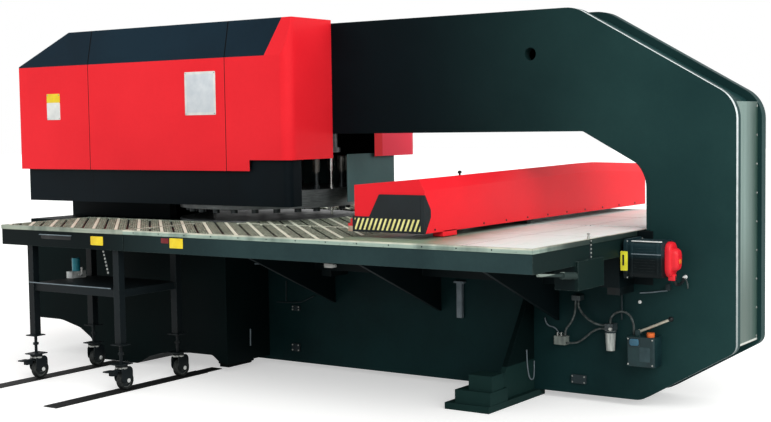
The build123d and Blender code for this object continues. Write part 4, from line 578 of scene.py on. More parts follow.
# air unit: dark bodies, with the filter's metal bowl and the manifold picked out by where they sit
def makeAirUnit(g):
    streak = g.streaks((60, 60, 8))
    dark = g.tones(streak, (34, 42, 44), (62, 72, 74))
    pale = g.tones(streak, (120, 128, 126), (196, 200, 194))
    block = g.tones(streak, (84, 92, 88), (150, 158, 150))
    bowl, manifold = (
        g.times(g.between(g.x, *airParts[key]), g.below(g.z, airParts[key + "Top"])) for key in ("bowl", "manifold")
    )
    tone = g.mix(bowl, g.mix(manifold, dark, block), pale)
    return g.finished(tone, streak, (0.3, 0.5), streak, 0.0003, 0.3)


makers = {
    "panelGrey": makePanel, "deckPlate": makeDeckPlate, "deckBar": makeBars, "bristles": makeBristles,
    "edgeTrim": makeTrim, "stripedPlate": makeHazard, "wheelTread": makeWheel, "hoseBlack": makeHose,
    "pumpBlue": makePump, "airUnit": makeAirUnit, "railSteel": makeRail, "punchSteel": makePunch,
    "cartDeck": makeCartDeck,
}
finishes |= {name: make(Graph(name)) for name, make in makers.items()}

nodeFinish = {
    "frameEnamel": "frame_plate_near frame_plate_far edge_spacer",
    "castGrey": "turret_drives ram_cylinder beam_saddle",
    "airUnit": "air_unit",
    "panelGrey": "rear_panel",
    "footEnamel": "outriggers base_casings",
    "tableUnder": "table_bed",
    "cartDeck": "cart_deck",
    "coverRed": "head_cover_near head_cover_far beam_cover",
    "capBlack": "head_cap_near head_cap_far",
    "girderGrey": "beam_girder",
    "nearSkirt": "turret_skirt_near",
    "farSkirt": "turret_skirt_far",
    "turnedSteel": "upper_turret lower_turret upper_shaft lower_shaft ram",
    "punchSteel": "punch_holders",
    "darkSteel": "clamp_carriage",
    "trackSteel": "floor_rails",
    "brightSteel": "working_punch",
    "railSteel": "beam_rails",
    "groundSteel": "ball_screw clamp_jaw_1 clamp_jaw_2 clamp_jaw_3",
    "leverSteel": "lube_lever",
    "tableSlate": "table_apron cart_apron",
    "edgeTrim": "table_trim",
    "deckBar": "deck_bars",
    "bristles": "brush_bands cart_brushes",
    "deckPlate": "deck_plates",
    "motorBlack": "beam_motor",
    "capRed": "beam_motor_cap",
    "stripedPlate": "beam_end_plate",
    "signalLamp": "beam_lamp",
    "cartBlack": "cart_frame caster_fork_1 caster_fork_2 caster_fork_3 caster_fork_4 brake_pedal_1 brake_pedal_2",
    "wheelTread": "caster_wheel_1 caster_wheel_2 caster_wheel_3 caster_wheel_4",
    "pumpBlue": "lube_pump",
    "hoseBlack": "service_hoses",
    "valveCyan": "shelf_valve",
}
unfinished = set(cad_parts)
for finish, names in nodeFinish.items():
    for name in names.split():
        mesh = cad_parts[name].data
        mesh.materials.clear()
        mesh.materials.append(finishes[finish])
        unfinished.discard(name)
print("finishes made; nodes without one:", sorted(unfinished))


# the volume under all faces is positive when they point outwards: each face is fanned from its first corner
def facedOut(points, faces):
    total = 0.0
    for block in faces:
        first = points[block[:, 0]][:, None]
        second, third = points[block[:, 1:-1]], points[block[:, 2:]]
        total += float(np.sum(first * np.cross(second, third)))
    return points, [block[:, ::-1] if total < 0 else block for block in faces]


# a stack of closed rings: ring i is row i of the array, quads join it to the next, and a lid closes each end
def stacked(rings):
    levels, around = rings.shape[:2]
    here = np.arange(levels - 1)[:, None] * around + np.arange(around)
    there = np.roll(here, -1, axis=1)
    quads = np.stack([here, there, there + around, here + around], -1).reshape(-1, 4)
    lids = [np.arange(around)[None, ::-1], (levels - 1) * around + np.arange(around)[None, :]]
    return facedOut(rings.reshape(-1, 3), [quads, *lids])


# a flat outline carried along one axis, with a ring of it at each of the spots
def carried(outline, axis, spots):
    return stacked(np.stack([np.insert(outline, axis, spot, axis=1) for spot in spots]))


# a rounded rectangle: four quarter circles of the corner radius about the corner centres
def roundedRing(halfWidth, halfDepth, corner, steps=5):
    quarter = np.linspace(0, math.pi / 2, steps)
    angle = np.concatenate([quarter + k * math.pi / 2 for k in range(4)])
    signX, signY = np.repeat([1, -1, -1, 1], steps), np.repeat([1, 1, -1, -1], steps)
    x = signX * (halfWidth - corner) + corner * np.cos(angle)
    y = signY * (halfDepth - corner) + corner * np.sin(angle)
    return np.stack([x, y], -1)


# a block with soft corners and edges: its rounded rectangle draws in by a quarter circle at each end of its height
def softBlock(low, high, corner, edge, along=2):
    order = [(1, 2, 0), (2, 0, 1), (0, 1, 2)][along]
    low, high = np.array(low, float), np.array(high, float)
    size, centre = (high - low)[list(order)], ((high + low) / 2)[list(order)]
    edge = min(edge, 0.4 * float(size.min()))
    corner = max(min(corner, 0.49 * float(size[:2].min())), edge + 0.05)
    turn = np.linspace(0, math.pi / 2, 4)
    inset, rise = edge * (1 - np.sin(turn)), edge * (1 - np.cos(turn))
    levels = [*zip(inset, rise - size[2] / 2), *zip(inset[::-1], (size[2] / 2 - rise)[::-1])]
    wide, deep = size[:2] / 2
    rings = [np.insert(roundedRing(wide - i, deep - i, corner - i), 2, height, axis=1) for i, height in levels]
    return stacked((np.stack(rings) + centre)[..., np.argsort(order)])


# a turned form: rows of (radius, height) carried round the axis, ending in a small flat at both ends
def turnedForm(profile, sides=20):
    profile = np.array(profile, float)
    angle = (np.arange(sides) + 0.5) * 2 * math.pi / sides
    radius, height = profile[:, :1], profile[:, 1:]
    return stacked(np.stack([radius * np.cos(angle), radius * np.sin(angle), height + 0 * angle], -1))


# turns a form's height axis to the given direction, and stands a copy of it at each of the places
def stoodAt(form, places, direction=(0, 0, 1)):
    points, faces = form
    up = np.array(direction, float) / np.linalg.norm(direction)
    side = np.cross((0, 0, 1) if abs(up[2]) < 0.9 else (0, 1, 0), up)
    side /= np.linalg.norm(side)
    turned = points @ np.stack([side, np.cross(up, side), up])
    places = np.atleast_2d(np.array(places, float))
    step = (np.arange(len(places)) * len(points))[:, None, None]
    blocks = [(block[None] + step).reshape(-1, block.shape[1]) for block in faces]
    return (turned[None] + places[:, None]).reshape(-1, 3), blocks


# Chaikin's rule: each run keeps its points at a quarter and three quarters, and the two ends stay
def smoothed(points):
    points = np.array(points, float)
    for _ in range(3):
        quarters = [0.75 * points[:-1] + 0.25 * points[1:], 0.25 * points[:-1] + 0.75 * points[1:]]
        points = np.concatenate([points[:1], np.stack(quarters, 1).reshape(-1, 3), points[-1:]])
    return points


# a round bar along a smoothed path: a circle square to it at each point, on axes made from its direction and a hint
def barAlong(path, radius, sides, hint=(0, 1, 0)):
    path = smoothed(path)
    ahead = np.gradient(path, axis=0)
    ahead /= np.linalg.norm(ahead, axis=1, keepdims=True)
    side = np.cross(ahead, hint)
    side /= np.linalg.norm(side, axis=1, keepdims=True)
    up = np.cross(side, ahead)
    angle = (np.arange(sides) * 2 * math.pi / sides)[None, :, None]
    return stacked(path[:, None] + radius * (np.cos(angle) * side[:, None] + np.sin(angle) * up[:, None]))


# several forms as one: each form's faces count on from the points before it
def joined(*forms):
    start = np.cumsum([0] + [len(points) for points, faces in forms[:-1]])
    blocks = [block + shift for (points, faces), shift in zip(forms, start) for block in faces]
    return np.concatenate([points for points, faces in forms]), blocks


# a form in millimetres becomes a mesh in metres, smooth where its faces meet at less than 38 degrees
def addPiece(name, form, finish, body="machine"):
    points, faces = form
    mesh = bpy.data.meshes.new(name)
    mesh.from_pydata((points * 0.001).tolist(), [], [row for block in faces for row in block.tolist()])
    mesh.polygons.foreach_set("use_smooth", [True] * len(mesh.polygons))
    mesh.set_sharp_from_angle(angle=math.radians(38))
    mesh.materials.append(finishes[finish])
    piece = linked(name, mesh)
    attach(piece, body)
    return piece


# the lowest and highest corners of a CAD node, in millimetres
def millimetres(node):
    low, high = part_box(node)
    return np.array(low) * 1000, np.array(high) * 1000


# a cap screw with a socket, and a hexagon bolt on its washer, both standing on height 0
def capScrew(radius, height):
    shares = np.array([(1, 0), (1, 0.75), (0.82, 1), (0.48, 1), (0.45, 0.4), (0.05, 0.35)])
    return turnedForm(shares * (radius, height), 12)


def hexBolt(radius, height):
    head = np.array([(1, 0.25), (1, 0.85), (0.88, 1), (0.1, 1)])
    washer = np.array([(1.35, 0), (1.35, 0.22), (1.25, 0.25), (0.5, 0.25)])
    return joined(turnedForm(head * (radius, height), 6), turnedForm(washer * (radius, height), 18))


# a flat plate on a face that looks to -Y: it stands out from the face and is let into it
def plateOn(face, spread, out, into, corner, edge):
    left, right, low, high = spread
    return softBlock((left, face - out, low), (right, face + into, high), corner, edge, 1)


def cornersOf(spread, inset, depth):
    left, right, low, high = spread
    return [(x, depth, z) for x in (left + inset, right - inset) for z in (low + inset, high - inset)]


toNear, toFar, toRight, upward = (0, -1, 0), (0, 1, 0), (1, 0, 0), (0, 0, 1)
frameFace, pumpFace = -213, -309
coverFace, cartFace, tableFace = (
    float(millimetres(node)[0][1]) for node in ("head_cover_near", "cart_apron", "table_apron")
)
flatPlates = {  # face, (left, right, low, high), out, into, corner and edge radius, then finish and body
    "cover_plate_pale": (coverFace, (-1035, -789, 1553, 1811), 1.6, 1, 6, 0.6, "palePlate", "machine"),
    "cover_plate_panel": (coverFace, (-1019, -805, 1569, 1795), 2.1, 0, 5, 0.4, "greyPlate", "machine"),
    "cover_plate_small": (coverFace, (-2259, -2135, 1541, 1652.54), 1.6, 1, 5, 0.6, "palePlate", "machine"),
    "cover_plate_yellow": (coverFace, (-2259, -2135, 1652.54, 1710), 1.6, 1, 5, 0.6, "yellowPlate", "machine"),
    "cart_plate_yellow": (cartFace, (-1122, -1023, 825, 875), 1.4, 1, 4, 0.5, "yellowPlate", "cart"),
    "table_plate_yellow": (tableFace, (-510, -413, 832, 886), 1.4, 1, 4, 0.5, "yellowPlate", "machine"),
    "table_plate_red": (tableFace, (-573, -517, 856, 884), 1.4, 1, 4, 0.5, "darkRedPlate", "machine"),
    "cart_pull_slot": (cartFace, (-1536, -1284, 846, 873), 0.8, 1, 9, 0.4, "blackPlastic", "cart"),
    "motor_tab": (-424.2, (1714, 1757, 730, 834), 3.4, 0, 4, 0.6, "motorBlack", "machine"),
    "motor_plate_yellow": (-427.6, (1716, 1755, 733, 831), 1.4, 0.5, 4, 0.5, "limePlate", "machine"),
    "motor_plate_bar": (-427.6, (1727, 1737, 759, 813), 2.2, 0, 3, 0.4, "blackPlastic", "machine"),
    "plate_stub": (frameFace, (1876, 1898, 620, 653), 25, 0, 5, 1.5, "castGrey", "machine"),
    "pump_glass_rim": (pumpFace, (1708, 1766, 332, 376), 4, 1, 8, 1.2, "castGrey", "machine"),
    "pump_glass": (pumpFace, (1712, 1762, 336, 372), 9, -1, 10, 4, "blueGlass", "machine"),
    "pump_panel": (pumpFace, (1764, 1822, 256, 330), 1.4, 1, 4, 0.5, "dullPlate", "machine"),
}
for name, (*shape, finish, body) in flatPlates.items():
    addPiece(name, plateOn(*shape), finish, body)
motorStrip = plateOn(-415, (1768, 1928, 816, 820.5), 2.4, 0, 1.4, 0.6)
addPiece("motor_strip", motorStrip, "postGrey")

blocks = {  # finish, body and slot, then low and high corner, corner and edge radius, and the axis of each soft block
    "cart_pull_lip": ("postGrey", "cart", None, [((-1541, cartFace - 13, 869), (-1279, cartFace + 1, 874), 2.4, 1.2, 0)]),
    "motor_ribs": (
        "motorBlack", "machine", None, [((x, -417, 697), (x + 14, -231, 883), 26, 1.5, 0) for x in (1762, 1900)],
    ),
    "motor_lid": ("palePlate", "machine", "motor_paint", [((1766, -410, 879), (1926, -394, 884), 3, 1, 2)]),
    "plate_rest": ("postGrey", "machine", "pale_paint", [
        ((625, -239, 393), (662, frameFace, 600), 5, 1.5, 2), ((610, -242, 589), (677, frameFace, 600), 3, 1.2, 2),
    ]),
    "guard_connector": ("palePlate", "machine", None, [
        ((-160, -428, 655), (-104, -403, 681), 5, 2, 0), ((-108, -424, 659), (-84, -403, 677), 4, 1.5, 0),
    ]),
    "latch_strip": ("castGrey", "machine", "slate_paint", [((1709, -763, 803), (1713, -747, 915), 2, 0.8, 0)]),
    # painted highlight: a pale strip along the shelf's front edge
    "shelf_lip_highlight": ("postGrey", "cart", None, [((-1652, -1334.5, 582), (-972, -1331, 588), 1.4, 0.6, 0)]),
}
for name, (finish, body, slotName, parts) in blocks.items():
    addPiece(name, joined(*(softBlock(*part) for part in parts)), finish, body)

pipes = {  # rigid lines and rods on the near plate: finish, radius and the corners that each goes through
    "columnLine": ("postGrey", 3.6, [(1730, -222, 597), (1790, -222, 603), (1840, -222, 612), (1880, -222, 618)]),
    "columnDrop": ("castGrey", 4.5, [(1629, -226, 640), (1629, -226, 600), (1630, -226, 520), (1629, -226, 452)]),
    "manifoldFeed": ("postGrey", 3.6, [
        (1177, -222, 430), (1182, -222, 404), (1201, -222, 386), (1237, -222, 383), (1268, -222, 346),
    ]),
    "midDrop": ("castGrey", 3.6, [(-614, -222, 531), (-614, -222, 480), (-616, -222, 440), (-616, -222, 408)]),
    "midRun": ("castGrey", 3.6, [
        (-689, -222, 396), (-620, -222, 399), (-507, -222, 402), (-440, -222, 432), (-398, -222, 451),
    ]),
    "upperRun": ("postGrey", 4.0, [
        (-758, -345, 642), (-690, -290, 640), (-640, -226, 628), (-590, -222, 640), (-570, -222, 655),
    ]),
    "casingDrop": ("postGrey", 3.6, [(-755, -401, 248), (-755, -401, 215), (-755, -403, 180), (-755, -403, 146)]),
    "guardRun": ("postGrey", 3.2, [
        (-640, -330, 655), (-560, -330, 640), (-430, -330, 636), (-330, -330, 622), (-290, -330, 640),
    ]),
    "hookRod": ("postGrey", 3.6, [
        (1109, -306, 262), (1109, -303, 200), (1109, -288, 120), (1109, -262, 92),
        (1109, -232, 90), (1109, -224, 120), (1109, -222, 190),
    ]),
}
for name, (finish, radius, corners) in pipes.items():
    bar = barAlong(corners, radius, 10, toRight if name == "hookRod" else toFar)
    addPiece("pipe_" + name, bar, finish)

leads = {  # rigid conduits: finish, radius, sides, hint and corners
    "cap_conduit": ("blackPlastic", 7.5, 14, toRight, [
        (1962, -324, 706), (1963, -324, 676), (1966, -310, 660), (1970, -280, 660), (1974, -250, 670), (1975, -232, 686),
    ]),
    "cap_tail": ("hoseBlack", 3.6, 12, toRight, [
        (1982, -232, 684), (1990, -236, 672), (1994, -234, 655), (1990, -222, 640), (1984, -212, 634),
    ]),
    "guard_connector_lead": ("blackPlastic", 4, 10, (0, 1, 0.01), [
        (-158, -416, 667), (-172, -416, 667), (-186, -414, 671), (-196, -408, 681), (-200, -402, 695),
    ]),
}
for name, (finish, radius, sides, hint, corners) in leads.items():
    addPiece(name, barAlong(corners, radius, sides, hint), finish)

cartStrap = {"start": (-1052, -1304, 800), "end": (-1014, -1304, 662), "width": 16, "thick": 3, "holes": 7}


# perforated strap under the deck: a flat bar between two points, with a bright eyelet at each step
def makeCartStrap(look):
    start, end = np.array(look["start"], float), np.array(look["end"], float)
    wide, thick = look["width"] / 2, look["thick"] / 2
    bar = softBlock((-wide, -thick, 0), (wide, thick, np.linalg.norm(end - start)), 1.4, 0.6, 2)
    addPiece("cart_strap", stoodAt(bar, [start], end - start), "cartBlack", "cart")
    eyes = start + np.linspace(0.08, 0.94, look["holes"])[:, None] * (end - start) + (0, -thick - 0.4, 0)
    eyelet = turnedForm([(6.3, 0), (6.3, 2.1), (5.04, 2.94), (3.36, 2.94), (3.15, 0.42), (0.21, 0.42)], 14)
    addPiece("cart_strap_eyes", stoodAt(eyelet, eyes, toNear), "zincPlate", "cart")


makeCartStrap(cartStrap)

casterHub = {
    "bolt": (9.0, 6.0), "cheek": (28, 31.5), "ahead": 52, "behind": 34, "below": 12, "above": 82,
    "race": [(28, -25), (33, -24), (35, -21), (35, -15), (33, -12.5), (20, -12.5)],  # heights from the fork's top
}


# broad cheeks beside each fork over the upper half of the wheel, a bright axle bolt on each, and the swivel's race
def makeCasterHubs(look):
    for number in (1, 2, 3, 4):
        middle, swivel = (sum(millimetres(f"caster_{part}_{number}")) / 2 for part in ("wheel", "fork"))
        forkTop = millimetres(f"caster_fork_{number}")[1][2]
        low, high = middle[2] - look["below"], min(middle[2] + look["above"], forkTop - 1)
        cheeks, bolts = [], []
        for hand in (-1, 1):
            near, away = sorted(middle[0] + hand * reach for reach in look["cheek"])
            start, end = (near, middle[1] - look["ahead"], low), (away, middle[1] + look["behind"], high)
            cheeks.append(softBlock(start, end, 30, 1.2, 0))
            bolts.append(stoodAt(hexBolt(*look["bolt"]), [middle + (hand * look["cheek"][1], 0, 0)], (hand, 0, 0)))
        race = stoodAt(turnedForm(look["race"], 40), [(middle[0], swivel[1], forkTop)])
        body = f"caster_{number}"
        addPiece(f"caster_cheeks_{number}", joined(*cheeks), "cartBlack", body)
        addPiece(f"caster_bolts_{number}", joined(*bolts), "palePlate", body)
        addPiece(f"caster_race_{number}", race, "zincPlate", body)


makeCasterHubs(casterHub)

pedalPad = {  # half width, then near and far from the lever's near end, low and high from its underside, corner, edge
    "pad": (23, -27, 34, 13, 20, 6, 1.5), "root": (18, 12, 58, -12, 16, 8, 2),
}


# foot pads of the two brake pedals, each a broad pad on a narrower root
def makePedalPads(look):
    for number in (1, 2):
        low, high = millimetres(f"brake_pedal_{number}")
        middle = (low[0] + high[0]) / 2
        parts = []
        for half, near, far, under, over, corner, edge in look.values():
            start, end = (middle - half, low[1] + near, low[2] + under), (middle + half, low[1] + far, low[2] + over)
            parts.append(softBlock(start, end, corner, edge))
        addPiece(f"pedal_pad_{number}", joined(*parts), "cartBlack", f"pedal_{number}")


makePedalPads(pedalPad)

railTail = {"far": -488, "inset": 6, "width": 100, "lap": 4, "high": 4.6}


# the right floor rail runs on under the foot's arch for a short way
def makeRailTail(look):
    high = millimetres("floor_rails")[1]
    start = (high[0] - look["width"] + look["inset"], high[1] - look["lap"], 0)
    tail = softBlock(start, (high[0] - look["inset"], look["far"], look["high"]), 2, 0.4, 1)
    addPiece("floor_rail_tail", tail, "trackSteel")


makeRailTail(railTail)

motorFins = {"middle": (-324, 790), "reach": (1782, 1894), "pitch": 14, "count": 9, "out": 90.4, "half": 2}


# a comb of fins on the four sides of the square motor body
def makeMotorFins(look):
    across, lift = look["middle"]
    out, half = look["out"], look["half"]
    offsets = (np.arange(look["count"]) - (look["count"] - 1) / 2) * look["pitch"]
    fin = softBlock((look["reach"][0], -half, -half), (look["reach"][1], half, half), 1.2, 0.8, 0)
    places = [(0, across + side, lift + o) for side in (-out, out) for o in offsets]
    places += [(0, across + o, lift + side) for side in (out, -out) for o in offsets]
    addPiece("motor_fins", stoodAt(fin, places), "motorBlack")


makeMotorFins(motorFins)

motorCap = {  # the middle across and up, then rows of x, half width, half height and corner radius; the spout's corners
    "middle": (-324, 790),
    "rows": [
        (1929, 50, 86, 44), (1931, 52, 88, 46), (1950, 52, 88, 46), (1955, 50, 85, 44), (1959, 44, 76, 40),
        (1961, 39, 60, 34), (1976, 37, 56, 32), (1986, 32, 49, 27), (1990, 24, 40, 20), (1991, 18, 33, 15),
    ],
    "spout": ((1931, -339, 684), (1967, -309, 716)),
}


# red motor cap: rounded rectangles stacked along x, a broad collar and then a smaller dome, with the cable spout below
def makeMotorCap(look):
    rings = [np.insert(roundedRing(*size, 8) + look["middle"], 0, x, axis=1) for x, *size in look["rows"]]
    spout = softBlock(*look["spout"], 7, 2, 2)
    cap = addPiece("motor_cap_shell", joined(stacked(np.stack(rings)), spout), "capRed")
    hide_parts("beam_motor_cap")


makeMotorCap(motorCap)

plateCovers = {"face": -214, "out": 12, "boxes": [(-570, -509, 352, 385), (-576, -515, 102, 150), (1333, 1419, 90, 137)]}
covers = [plateOn(plateCovers["face"], box, plateCovers["out"], 1, 4, 1.2) for box in plateCovers["boxes"]]
addPiece("plate_covers", joined(*covers), "castGrey")

leverKnob = {"pivot": (1739, -261.5, 400), "reach": 180, "angle": 24, "radius": 13.5}


# ball at the end of the pump's lever: a circle from pole to pole, turned
def makeLeverKnob(look):
    angle = math.radians(look["angle"])
    away = np.array([math.cos(angle), 0, math.sin(angle)])
    turn = np.linspace(0.08, math.pi - 0.08, 13)
    ball = turnedForm(look["radius"] * np.stack([np.sin(turn), 1 - np.cos(turn)], -1))
    place = look["pivot"] + look["reach"] * away
    addPiece("lever_knob", stoodAt(ball, [place], away), "blackPlastic", "lever")


makeLeverKnob(leverKnob)

valveElbow = {
    "path": [(-1645, -955, 592), (-1631, -955, 592), (-1621, -955, 596), (-1617, -955, 608), (-1617, -955, 636)],
    "radius": 6.5, "cap": [(8.5, 0), (8.5, 9), (7, 11), (0.5, 11)], "capPlace": (-1617, -955, 628),
}
elbow = barAlong(valveElbow["path"], valveElbow["radius"], 14)
elbowCap = stoodAt(turnedForm(valveElbow["cap"], 12), [valveElbow["capPlace"]])
addPiece("valve_elbow", joined(elbow, elbowCap), "palePlate", "cart")

windowLiner = {"right": 1782, "turn": 1136, "radius": 150, "arc": 61.4, "thick": 20, "low": 921, "depth": (-212.6, 212.6)}


# liner of the window's right edge: up the straight edge and round the corner's arc, thinning to nothing along it
def makeWindowLiner(look):
    angle = np.radians(np.linspace(0, look["arc"], 13))
    thin = look["thick"] * (1 - (angle / angle[-1]) ** 2) + 0.4
    centre = np.array([look["right"] - look["radius"], look["turn"]])
    ray = np.stack([np.cos(angle), np.sin(angle)], -1)
    inside = centre + (look["radius"] - thin)[:, None] * ray
    outside = centre + (look["radius"] + 0.5) * ray
    footIn, footOut = (look["right"] - look["thick"] - 0.4, look["low"]), (look["right"] + 0.5, look["low"])
    outline = np.concatenate([[footIn], inside, outside[::-1], [footOut]])
    addPiece("window_liner", carried(outline, 1, look["depth"]), "frameEnamel")


makeWindowLiner(windowLiner)

beamShell = {
    "ridge": [(-1154, 1213), (-560, 1222), (100, 1231), (560, 1238), (760, 1238), (1100, 1224), (1450, 1209)],  # y and z
    "leftEdge": 1181, "ridgeX": 987, "bevelDrop": 55, "wall": 6, "fold": 5, "floor": 947.0,
    "skid": (960, -990, 922), "skidEnd": (-858, 953),
    "corner": [(-8.6, 947), (4, 947), (54, 1026), (54, 1062), (4, 1136), (-8.6, 1136)],  # y from the near end, and z
    "cornerThick": (-18.5, 1.2),
}


# beam cover: a folded sheet carried along y, its section runs from the low left edge up to the ridge, down the bevel
# and down the side, and back inside by the sheet's thickness; two end walls and the skid close it
def makeBeamShell(look):
    low, high = millimetres("beam_cover")
    left, right = low[0], high[0]
    keys = ("leftEdge", "ridgeX", "bevelDrop", "wall", "fold", "floor")
    edge, ridge, drop, wall, fold, floor = (look[key] for key in keys)
    rows = np.linspace(low[1] + wall, high[1] - wall, 41)
    top = np.interp(rows, *np.array(look["ridge"], float).T)
    slope = (top - edge) / (ridge - left)
    outer = [
        (left, edge), (ridge - fold, top - slope * fold), (ridge, top - 0.35), (ridge + fold * 0.6, top - fold),
        (right - 2.2, top - drop + 3), (right, top - drop - 3), (right, floor),
    ]
    inner = [(right - wall, floor), (right - wall, top - drop - 4), (ridge - 2, top - wall - 2), (left, edge - wall)]
    ring = np.stack([np.stack(np.broadcast_arrays(x, rows, z), -1) for x, z in outer + inner], 1)
    walls = []
    for start, end, place in ((low[1], low[1] + wall, 0), (high[1] - wall, high[1], -1)):
        outline = np.concatenate([ring[place, :len(outer)][:, [0, 2]], [(left, floor)]])
        walls.append(carried(outline, 1, (start, end)))
    skid = softBlock(look["skid"], (right, *look["skidEnd"]), 3, 1.5, 2)
    corner = np.array(look["corner"], float) + (low[1], 0)
    corner = carried(corner, 0, [right + thick for thick in look["cornerThick"]])
    addPiece("beam_end_corner", corner, "stripedPlate", "beam")
    shell = addPiece("beam_cover_shell", joined(stacked(ring), *walls, skid), "coverRed", "beam")
    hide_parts("beam_cover")


makeBeamShell(beamShell)

knob = {"place": (978, -758), "form": [(5, -2), (5, 8), (10, 11), (11, 17), (8, 22), (0.5, 24)]}
knobRoof = float(np.interp(knob["place"][1], *np.array(beamShell["ridge"], float).T)) - 1
addPiece("beam_knob", stoodAt(turnedForm(knob["form"]), [(*knob["place"], knobRoof)]), "blackPlastic", "beam")

screwRows = {  # counts, insets and pitches of the rows of screws, and the stretch that the skid leaves without them
    "panelCount": 9, "panelInset": (14, 22), "trimPitch": 190, "trimHeight": 905,
    "beamPitch": 235, "beamHeight": 962, "beamEnds": (90, 60), "beamFree": (-1000, -820),
}


# rows of screws: round the rear panel, along the beam cover's side, and along the near and far trim
def makeScrewRows(look):
    low, high = millimetres("rear_panel")
    insetY, insetZ = look["panelInset"]
    heights = np.linspace(low[2] + insetZ, high[2] - insetZ, look["panelCount"])
    dots = [(high[0] - 0.4, y, z) for y in (low[1] + insetY, high[1] - insetY) for z in heights]
    addPiece("rear_panel_screws", stoodAt(capScrew(6, 4), dots, toRight), "zincPlate")
    low, high = millimetres("beam_cover")
    rows = np.arange(low[1] + look["beamEnds"][0], high[1] - look["beamEnds"][1], look["beamPitch"])
    freeFrom, freeTo = look["beamFree"]
    dots = [(high[0] - 0.4, y, look["beamHeight"]) for y in rows if y < freeFrom or y > freeTo]
    addPiece("beam_cover_screws", stoodAt(capScrew(5.5, 3.5), dots, toRight), "blackOxide", "beam")
    low, high = millimetres("table_trim")
    for name, left, y, direction in (("near", -780, low[1] + 0.2, toNear), ("far", -1800, high[1] - 0.2, toFar)):
        dots = [(x, y, look["trimHeight"]) for x in np.arange(left, 1690, look["trimPitch"])]
        addPiece(f"trim_screws_{name}", stoodAt(capScrew(3.6, 1.6), dots, direction), "blackOxide")


makeScrewRows(screwRows)

farFace = float(millimetres("head_cover_far")[1][1])
twoPlates = (-1035, -789, 1553, 1811), (-2259, -2135, 1541, 1710)
plateCorners = [spot for plate in twoPlates for spot in cornersOf(plate, 8, coverFace - 1.3)]
coverCorners = [spot for box in plateCovers["boxes"] for spot in cornersOf(box, 8, -225.5)]
turnedParts = {  # finish, the way it looks, the places it stands at, and the form
    "cover_plate_rivets": (
        "zincPlate", toNear, plateCorners, turnedForm([(4, 0), (4, 1.6), (2.8, 3), (0.4, 3.4)], 12),
    ),
    "motor_screws": ("zincPlate", toRight, [(1746, y, z) for y in (-415, -233) for z in (699, 881)], capScrew(4.2, 5)),
    "motor_cap_knob": (
        "orangeCap", toRight, [(1990.5, -327, 781)], turnedForm([(13, -1), (13, 3), (11, 5), (6, 5.5), (0.5, 5.6)]),
    ),
    "cap_connector": (
        "palePlate", toNear, [(1975, -214, 692)],
        turnedForm([(10, -1), (10, 5), (8, 6), (8, 18), (7, 20), (6, 25), (0.5, 25.5)]),
    ),
    "plate_cover_screws": ("zincPlate", toNear, coverCorners, capScrew(4.5, 4)),
    "plate_button": (
        "palePlate", toNear, [(1726, -214, 549)], turnedForm([(9.5, -1), (9.5, 4), (7.5, 7), (4, 8.5), (0.5, 9)]),
    ),
    "latch_screws": ("zincPlate", toRight, [(1712.6, -755, z) for z in np.linspace(811, 908, 6)], capScrew(5, 4)),
    "latch_pin": (
        "zincPlate", upward, [(1701, -755, 917)],
        turnedForm([(7, 0), (7, 12), (5, 13), (5, 20), (8, 22), (8, 28), (0.5, 29)], 16),
    ),
    "pump_screws": (
        "zincPlate", toNear, [(x, pumpFace + 0.5, z) for x in (1702, 1835) for z in (240, 370)], capScrew(4.5, 4),
    ),
    "manifold_unions": (
        "zincPlate", upward, [(x, -240, 343) for x in (1262, 1284, 1306)],
        turnedForm([(7, -1), (7, 5), (5, 6), (5, 11), (6.5, 12), (6.5, 17), (3, 18), (0.3, 18)], 6),
    ),
    "filter_gauge": (
        "zincPlate", toNear, [(1588, -275, 406)], turnedForm([(10, -1), (10, 6), (8.5, 8), (7, 8), (6.5, 7), (0.5, 7)]),
    ),
    "filter_collar": (
        "castGrey", upward, [(1575, -248, 388)], turnedForm([(29.5, -5), (30.5, -4), (30.5, 3), (29.5, 4)], 28),
    ),
    "cover_fasteners_far": (
        "blackOxide", toFar,
        [(x, farFace - 0.4, z) for x in (-2380, -2010, -1730, -1290, -860, -600, -360) for z in (1330, 1840)],
        turnedForm([(11, 0), (11, 2), (9, 3), (4, 3), (3.5, 1.4), (0.3, 1.4)], 18),
    ),
}
for name, (finish, direction, places, form) in turnedParts.items():
    addPiece(name, stoodAt(form, places, direction), finish)

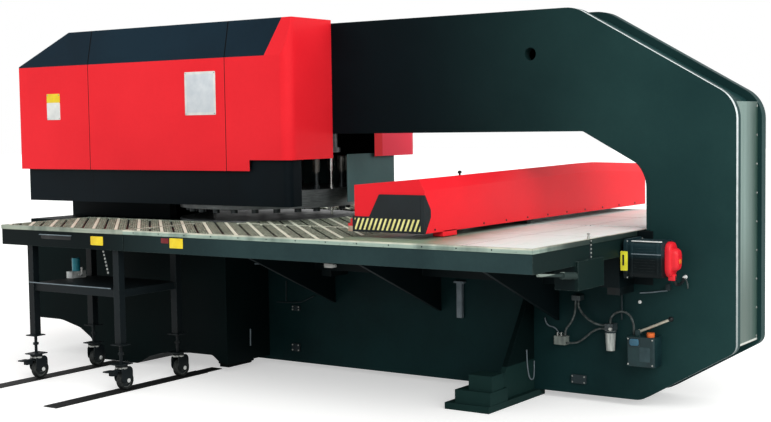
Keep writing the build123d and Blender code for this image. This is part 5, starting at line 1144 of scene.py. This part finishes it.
studio = {
    "floorReach": 60.0, "floorTones": ((232, 232, 230), (236, 236, 234)), "floorGlow": 0.46,
    "ambient": 0.62, "white": 1.0,
    "suns": {  # strength, width in degrees, and the way the light goes
        "keySun": (1.65, 44, (-0.66, 0.52, -0.54)),
        "fillSun": (0.3, 60, (0.6, 0.55, -0.5)),
        "sideSun": (1.15, 70, (-0.88, -0.34, -0.34)),
    },
}


# 1 for the rays that look at the studio itself: the camera's, and those in gloss and glass
def studioRays(nodes, links):
    rays = nodes.new("ShaderNodeLightPath")
    seen = rays.outputs["Is Camera Ray"]
    for kind in ("Is Glossy Ray", "Is Transmission Ray"):
        either = nodes.new("ShaderNodeMath")
        either.operation = "MAXIMUM"
        links.new(seen, either.inputs[0])
        links.new(rays.outputs[kind], either.inputs[1])
        seen = either.outputs[0]
    return seen


# a floor far past the picture; the camera and gloss see white behind, and a grey dome and three soft suns light it all
def makeStudio(look):
    world = bpy.data.worlds.new("studio")
    bpy.context.scene.world = world
    world.use_nodes = True
    nodes, links = world.node_tree.nodes, world.node_tree.links
    level = nodes.new("ShaderNodeMapRange")
    links.new(studioRays(nodes, links), level.inputs["Value"])
    level.inputs["To Min"].default_value = look["ambient"]
    level.inputs["To Max"].default_value = look["white"]
    links.new(level.outputs["Result"], nodes["Background"].inputs["Strength"])
    nodes["Background"].inputs["Color"].default_value = (1, 1, 1, 1)

    reach = look["floorReach"]
    mesh = bpy.data.meshes.new("floor")
    mesh.from_pydata([(-reach, -reach, 0), (reach, -reach, 0), (reach, reach, 0), (-reach, reach, 0)], [], [(0, 1, 2, 3)])
    linked("floor", mesh)
    g = Graph("floorPaint")
    mesh.materials.append(g.surface(g.tones(g.noise(0.5), *look["floorTones"]), 0.9, None, 0.0))
    g.feed(g.shader.inputs["Emission Color"], (1, 1, 1, 1))
    g.feed(g.shader.inputs["Emission Strength"], g.times(studioRays(g.nodes, g.links), look["floorGlow"]))

    for name, (power, width, aim) in look["suns"].items():
        lamp = bpy.data.lights.new(name, "SUN")
        lamp.energy, lamp.angle = power, math.radians(width)
        back = -np.array(aim) / np.linalg.norm(aim)
        side = np.cross((0, 0, 1), back)
        side /= np.linalg.norm(side)
        linked(name, lamp).matrix_world = standing(side, np.cross(back, side), back)


makeStudio(studio)
print("studio ready")
